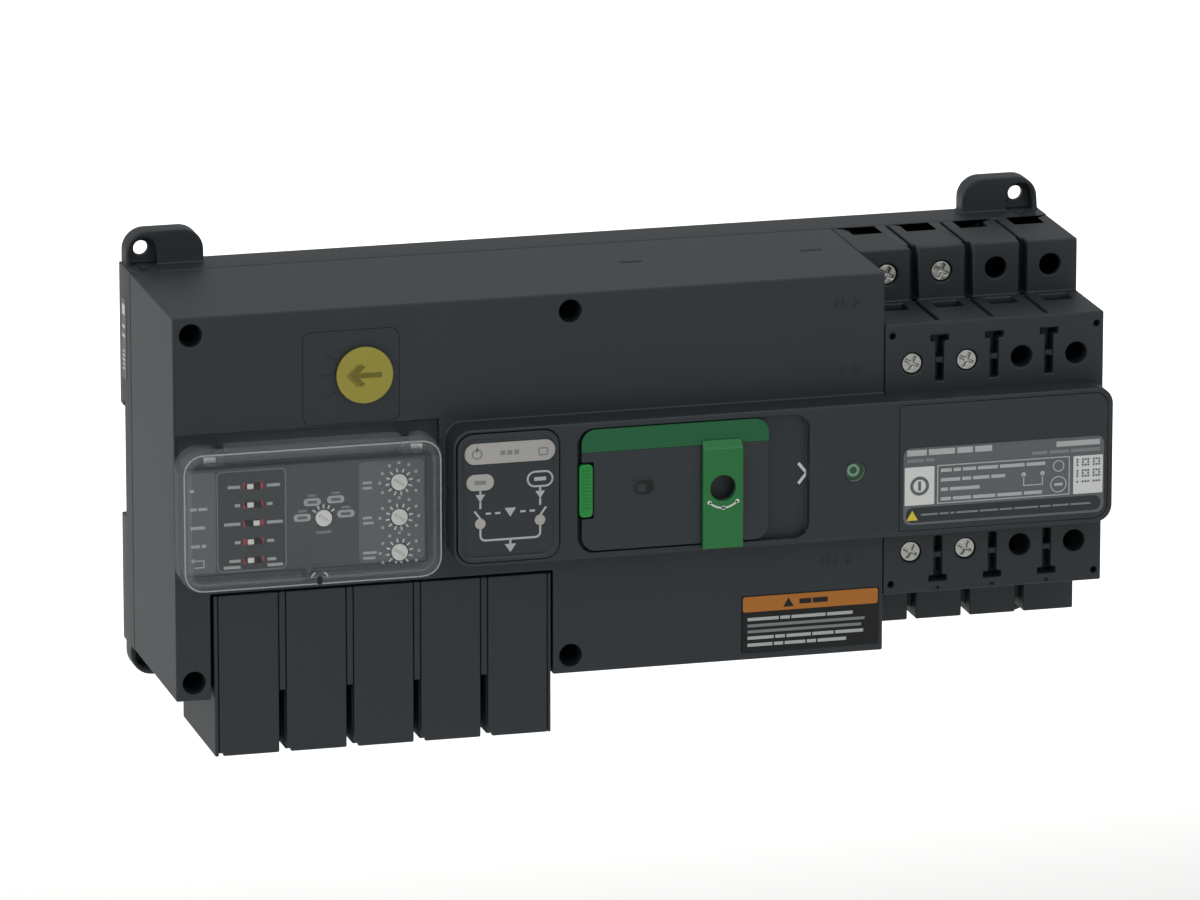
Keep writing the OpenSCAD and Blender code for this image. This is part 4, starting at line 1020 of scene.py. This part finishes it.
dot_x, dot_z = at(57.2, 7.4)
dots = [
    pill(dot_x + i * DOT_PITCH, dot_z - j * DOT_PITCH, DOT, DOT, 0.08)
    for i in range(DOTS)
    for j in range(DOTS)
    if (i * 5 + j * 3 + i * j) % 4 != 1
]
print_on("label_dots", [dots], film_y - OVER_FILM, GREY_FILM, slot="label_grey")

# %% Hazard label
danger_low, danger_high = low("hazard_label"), high("hazard_label")
danger_x, danger_y = centre("hazard_label").x, danger_low.y
HEADER = 5.2  # height of the orange header
heading_z = danger_high.z - HEADER / 2
header = pill(danger_x, heading_z, danger_high.x - danger_low.x - 0.3, HEADER - 0.2, 0.8)
print_on("hazard_header", [[header]], danger_y, ORANGE_FILM, slot="label_grey")
heading = [[triangle(danger_x - 7.2, heading_z, 3.4, -3.0)]]
heading += words(danger_x - 3.6, heading_z, (3.9, 4.9), 1.6, 0.5)
print_on("hazard_heading", heading, danger_y - OVER_FILM, DARK_INK_AND_SHADE, slot="moulding")
BOLD_LINES = {7.5: (10.2, 3.2, 11.2, 8.4), 13.6: (8.6, 3.2, 8.0, 7.0, 9.2), 15.9: (8.2, 3.0, 6.8, 3.0, 9.4)}
left = danger_low.x + 1.7
rows = []
for drop, line in BOLD_LINES.items():
    rows += words(left, danger_high.z - drop, line, 1.05, 0.5)
print_on("hazard_bold_rows", rows, danger_y, PALE_INK_AND_GLINTS, slot="white_plastic")
small_print("hazard_rows", left, danger_high.z - 9.6, danger_y, 2, 1.95, 39, 0.95, GREY_INK, 0.86, 3)

# %% [markdown]
# ## Settings under the clear cover
#
# A printed overlay divides the panel into a strip of names, a darker framed field
# for the slide switches, an open middle with the voltage dial, and a lighter field
# with three time dials. Fine bars stand for the names. Each dial has a crown of
# ticks, and the dials' places are read from their CAD nodes.

# %% Overlay fields
overlay_low, overlay_high = low("settings_panel"), high("settings_panel")
switch_x = centre("dip_switches").x
mid_field_z = (overlay_low.z + overlay_high.z) / 2
field_h = overlay_high.z - overlay_low.z - 1.4


def field(x0, x1, radius=1.2, height=field_h):
    return pill((x0 + x1) / 2, mid_field_z, x1 - x0, height, radius)


strip_x = overlay_low.x + 1.2
frame_x0, frame_x1 = switch_x - 11.6, switch_x + 10.4
dials_x0 = overlay_high.x - 21.6
overlays = [[field(strip_x, frame_x0 - 0.4)], [field(dials_x0, overlay_high.x - 0.7, 1.8)]]
knobs = [centre(f"dip_knob_{i}") for i in range(1, 6)]
dials = [centre(f"dial_{i}") for i in range(1, 5)]
switch_w = high("dip_switches").x - low("dip_switches").x
switch_h = high("dip_switches").z - knobs[0].z
windows = [pill(switch_x, knob.z, switch_w + 0.2, 2 * switch_h - 0.2, 0.1) for knob in knobs]
overlays[1] += [disc(dial.x, dial.z, 3.1) for dial in dials[:3]]
print_on("overlay_light_fields", overlays, panel_y, GREY_FILM, slot="label_grey")
dark_field = field(frame_x0, frame_x1, 1.8)
print_on("overlay_dark_field", [[dark_field] + windows], panel_y, DIM_FILM, slot="moulding")
outline = [dark_field, field(frame_x0 + 0.3, frame_x1 - 0.3, 1.5, field_h - 0.6)]
print_on("overlay_outline", [outline], panel_y - INK_MM, GREY_INK, slot="label_grey")

# %% Names beside the switches
NAME_LENGTHS = ((3.9, 4.2), (1.7, 1.8), (5.2, 5.0), (1.8, 2.2), (3.6, 2.8))
STRIP_LENGTHS = ((1.2,), (2.0, 2.9), (4.6,), (2.9, 1.5), ())
names = []
for knob, (left_name, right_name), strip in zip(knobs, NAME_LENGTHS, STRIP_LENGTHS):
    names += words(switch_x - 4.2 - left_name, knob.z, (left_name,), 0.95)
    names += words(switch_x + 4.3, knob.z, (right_name,), 0.95)
    names += words(strip_x + 0.8, knob.z - 0.4, strip, 1.0, 0.5)
last = knobs[4].z
names += words(switch_x - 9.6, last - 2.0, (5.4,), 0.95)
names += words(switch_x + 4.3, last - 1.9, (5.0,), 0.95)
turn_back = [(1.5, 0.9), (4.9, 0.9), (4.9, -1.3), (1.9, -1.3)]
head = [(0.6, 0.9), (1.9, 1.8), (1.9, 0)]
names.append([stroke([(strip_x + x, last + z) for x, z in turn_back], 0.4)])
names.append([[(strip_x + x, last + z) for x, z in head]])
print_on("switch_names", names, panel_y - INK_MM, PALE_INK_AND_GLINTS, slot="white_plastic")

# %% Crowns of ticks round the dials
voltage = dials[3]
spokes("voltage_ticks", voltage.x, voltage.z, panel_y, 3.75, 5, 38, 26, 1.25, 0.5, WHITE_INK)
PILLS = ((-6.8, 0.5), (-3.6, 5.3), (3.9, 5.7), (7.1, 0.9))
volts = [[pill(voltage.x + x, voltage.z + z, 5.5, 2.4, 1.1)] for x, z in PILLS]
print_on("voltage_fields", volts, panel_y, PALE_INK_AND_GLINTS, slot="white_plastic")
values = [bar for x, z in PILLS for bar in words(voltage.x + x - 1.5, voltage.z + z, (3.0,), 0.9)]
print_on("voltage_values", values, panel_y - INK_MM, GREY_FILM, slot="label_grey")
above = [bar for x, z in PILLS for bar in words(voltage.x + x - 1.4, voltage.z + z + 2.1, (2.8,), 0.75)]
above += words(voltage.x - 2.4, voltage.z - 4.6, (4.8,), 0.9)
print_on("voltage_names", above, panel_y, GREY_INK, slot="label_grey")
for i, dial in enumerate(dials[:3], 1):
    spot = (dial.x, dial.z, panel_y - INK_MM)
    spokes(f"time_ticks_{i}", *spot, 3.75, 12, -80, 30, 1.3, 0.55, WHITE_INK)
    spokes(f"time_values_{i}", *spot, 6.2, 9, -30, 30, 0.9, 0.9, PALE_INK_AND_GLINTS)
    beside = (dials_x0 + 1.3, dial.z + 0.4, panel_y - INK_MM)
    small_print(f"time_names_{i}", *beside, 2, 1.7, 4.6, 0.8, PALE_INK_AND_GLINTS, 0.5, i)

# %% Painted highlight lines along the cover's rim, and the sealing slot's painted shade and glints
lid_mid, lid_size = centre("clear_cover"), high("clear_cover") - low("clear_cover")
# The two pale frame lines are painted highlights along the cover's outer rim and its inner fillet.
rim_highlight_line = frame_line(lid_mid.x, lid_mid.z, lid_size.x - 1.6, lid_size.z - 1.6, 6.2, 0.45)
inner_rim_highlight_line = frame_line(lid_mid.x, lid_mid.z, lid_size.x - 6, lid_size.z - 6, 4.4, 0.3)
seal_x, seal_z = lid_mid.x + 1.9, low("clear_cover").z + 2.1
cover_y = low("clear_cover").y
# The dark pill is painted shade in the sealing notch, and the two pale arcs beside it are painted glints.
glint_arcs = []
for side in (-1, 1):
    glint_arc = arc(seal_x + side * 0.4, seal_z + 0.4, 2.3, 90 - side * 75, 90 - side * 25, 5)
    glint_arcs.append([stroke(glint_arc, 0.5)])
print_on("cover_rim_highlight", [rim_highlight_line], cover_y, CLEAR_RIM_HIGHLIGHT, body="lid", slot="clear_plastic")
print_on("cover_inner_rim_highlight", [inner_rim_highlight_line], cover_y, CLEAR_EDGE_HIGHLIGHT, body="lid", slot="clear_plastic")
print_on("seal_slot_painted_shade", [[pill(seal_x, seal_z, 1.8, 2.6, 0.8)]], cover_y, DARK_INK_AND_SHADE, body="lid", slot="moulding")
print_on("seal_painted_glints", glint_arcs, cover_y, PALE_INK_AND_GLINTS, body="lid", slot="clear_plastic")

# %% [markdown]
# ## Signs moulded in the cover
#
# Small raised signs on the cover point at the two supplies and the load. They are
# plain bars and chevrons in the cover's own plastic, 0.25 mm proud, and only their
# edges catch the light.

# %% Raised signs
RAISED_MM = 0.25
signs = []
for x, z, count in ((67, 52.6, 2), (67, 30.9, 1), (65, -31.2, 3)):
    for i in range(count):
        signs.append([stroke([(x - 2.1 * i - 2.2, z + 1.3), (x - 2.1 * i - 2.2, z - 1.3)], 0.6)])
    signs.append([stroke([(x + 1.2, z + 1.3), (x + 2.9, z), (x + 1.2, z - 1.3)], 0.55)])
print_on("moulded_signs", signs, front_y, SHELL, thick=RAISED_MM, slot="moulding")

# %% Side label: its marks are flush in a film that is thinner by the ink
side_low, side_high = low("side_label"), high("side_label")
side_y = (side_low.y + side_high.y) / 2
side_z = (side_low.z + side_high.z) / 2
bars = [(47.5, 3.6, 3.4, 0.2), (42, 3.2, 1, 0.2), (39, 3.6, 1, 0.2)]
bars += [(34 - 1.4 * i, 2.2 + 0.5 * (i % 3), 0.7, 0.1) for i in range(5)]
side_marks = [[pill(-side_y, *bar)] for bar in bars]
film = plate_mesh(
    "side_film",
    [[pill(-side_y, side_z, side_high.y - side_low.y, side_high.z - side_low.z, 0.3)]],
    side_high.x,
    thick=side_high.x - side_low.x - INK_MM,
    facing=FACING_LEFT,
)
seat_piece(film, GREY_FILM, "housing", "side_label", smooth=False)
side_x = side_low.x + INK_MM
print_on("side_label_marks", side_marks, side_x, WHITE_INK, facing=FACING_LEFT, slot="white_plastic")

# %% [markdown]
# ## Floor
#
# A wide sheet of white studio paper lies well below the switch, so that it lights
# the underside and gives the plain pale ground without a hard shadow.

# %% Studio paper
PAPER = new_material("white_studio_paper")
paper_place = add(PAPER, "ShaderNodeTexCoord").outputs["Object"]
fibres = add(PAPER, "ShaderNodeTexNoise", links={"Vector": paper_place}, Scale=400, Detail=2)
paper_bump = add(
    PAPER,
    "ShaderNodeBump",
    links={"Height": fibres.outputs["Fac"]},
    Strength=0.05,
    Distance=0.1 * MM,
)
paper = add(PAPER, "ShaderNodeBsdfPrincipled", links={"Normal": paper_bump.outputs["Normal"]}, Roughness=0.9)
paper.inputs["Base Color"].default_value = linear("#fdfdfc")
finish_with(PAPER, paper)
FLOOR_SIZE, FLOOR_DROP = 14, 0.3  # metres
floor_mesh = bpy.data.meshes.new("studio_floor")
floor_shape = bmesh.new()
bmesh.ops.create_grid(floor_shape, x_segments=1, y_segments=1, size=FLOOR_SIZE / 2)
bmesh.ops.translate(floor_shape, verts=floor_shape.verts, vec=(0, 0, cad_box[0][2] - FLOOR_DROP))
floor_shape.to_mesh(floor_mesh)
floor_shape.free()
floor_mesh.materials.append(PAPER)
floor = bpy.data.objects.new("studio_floor", floor_mesh)
scene.collection.objects.link(floor)
print("floor", FLOOR_SIZE, "m wide")

# %% [markdown]
# ## The CAD model's box
#
# The box of the CAD model is taken at the start and sets the floor's height. No
# box of the finished model is taken.

# %% End of the scene
print("scene built")
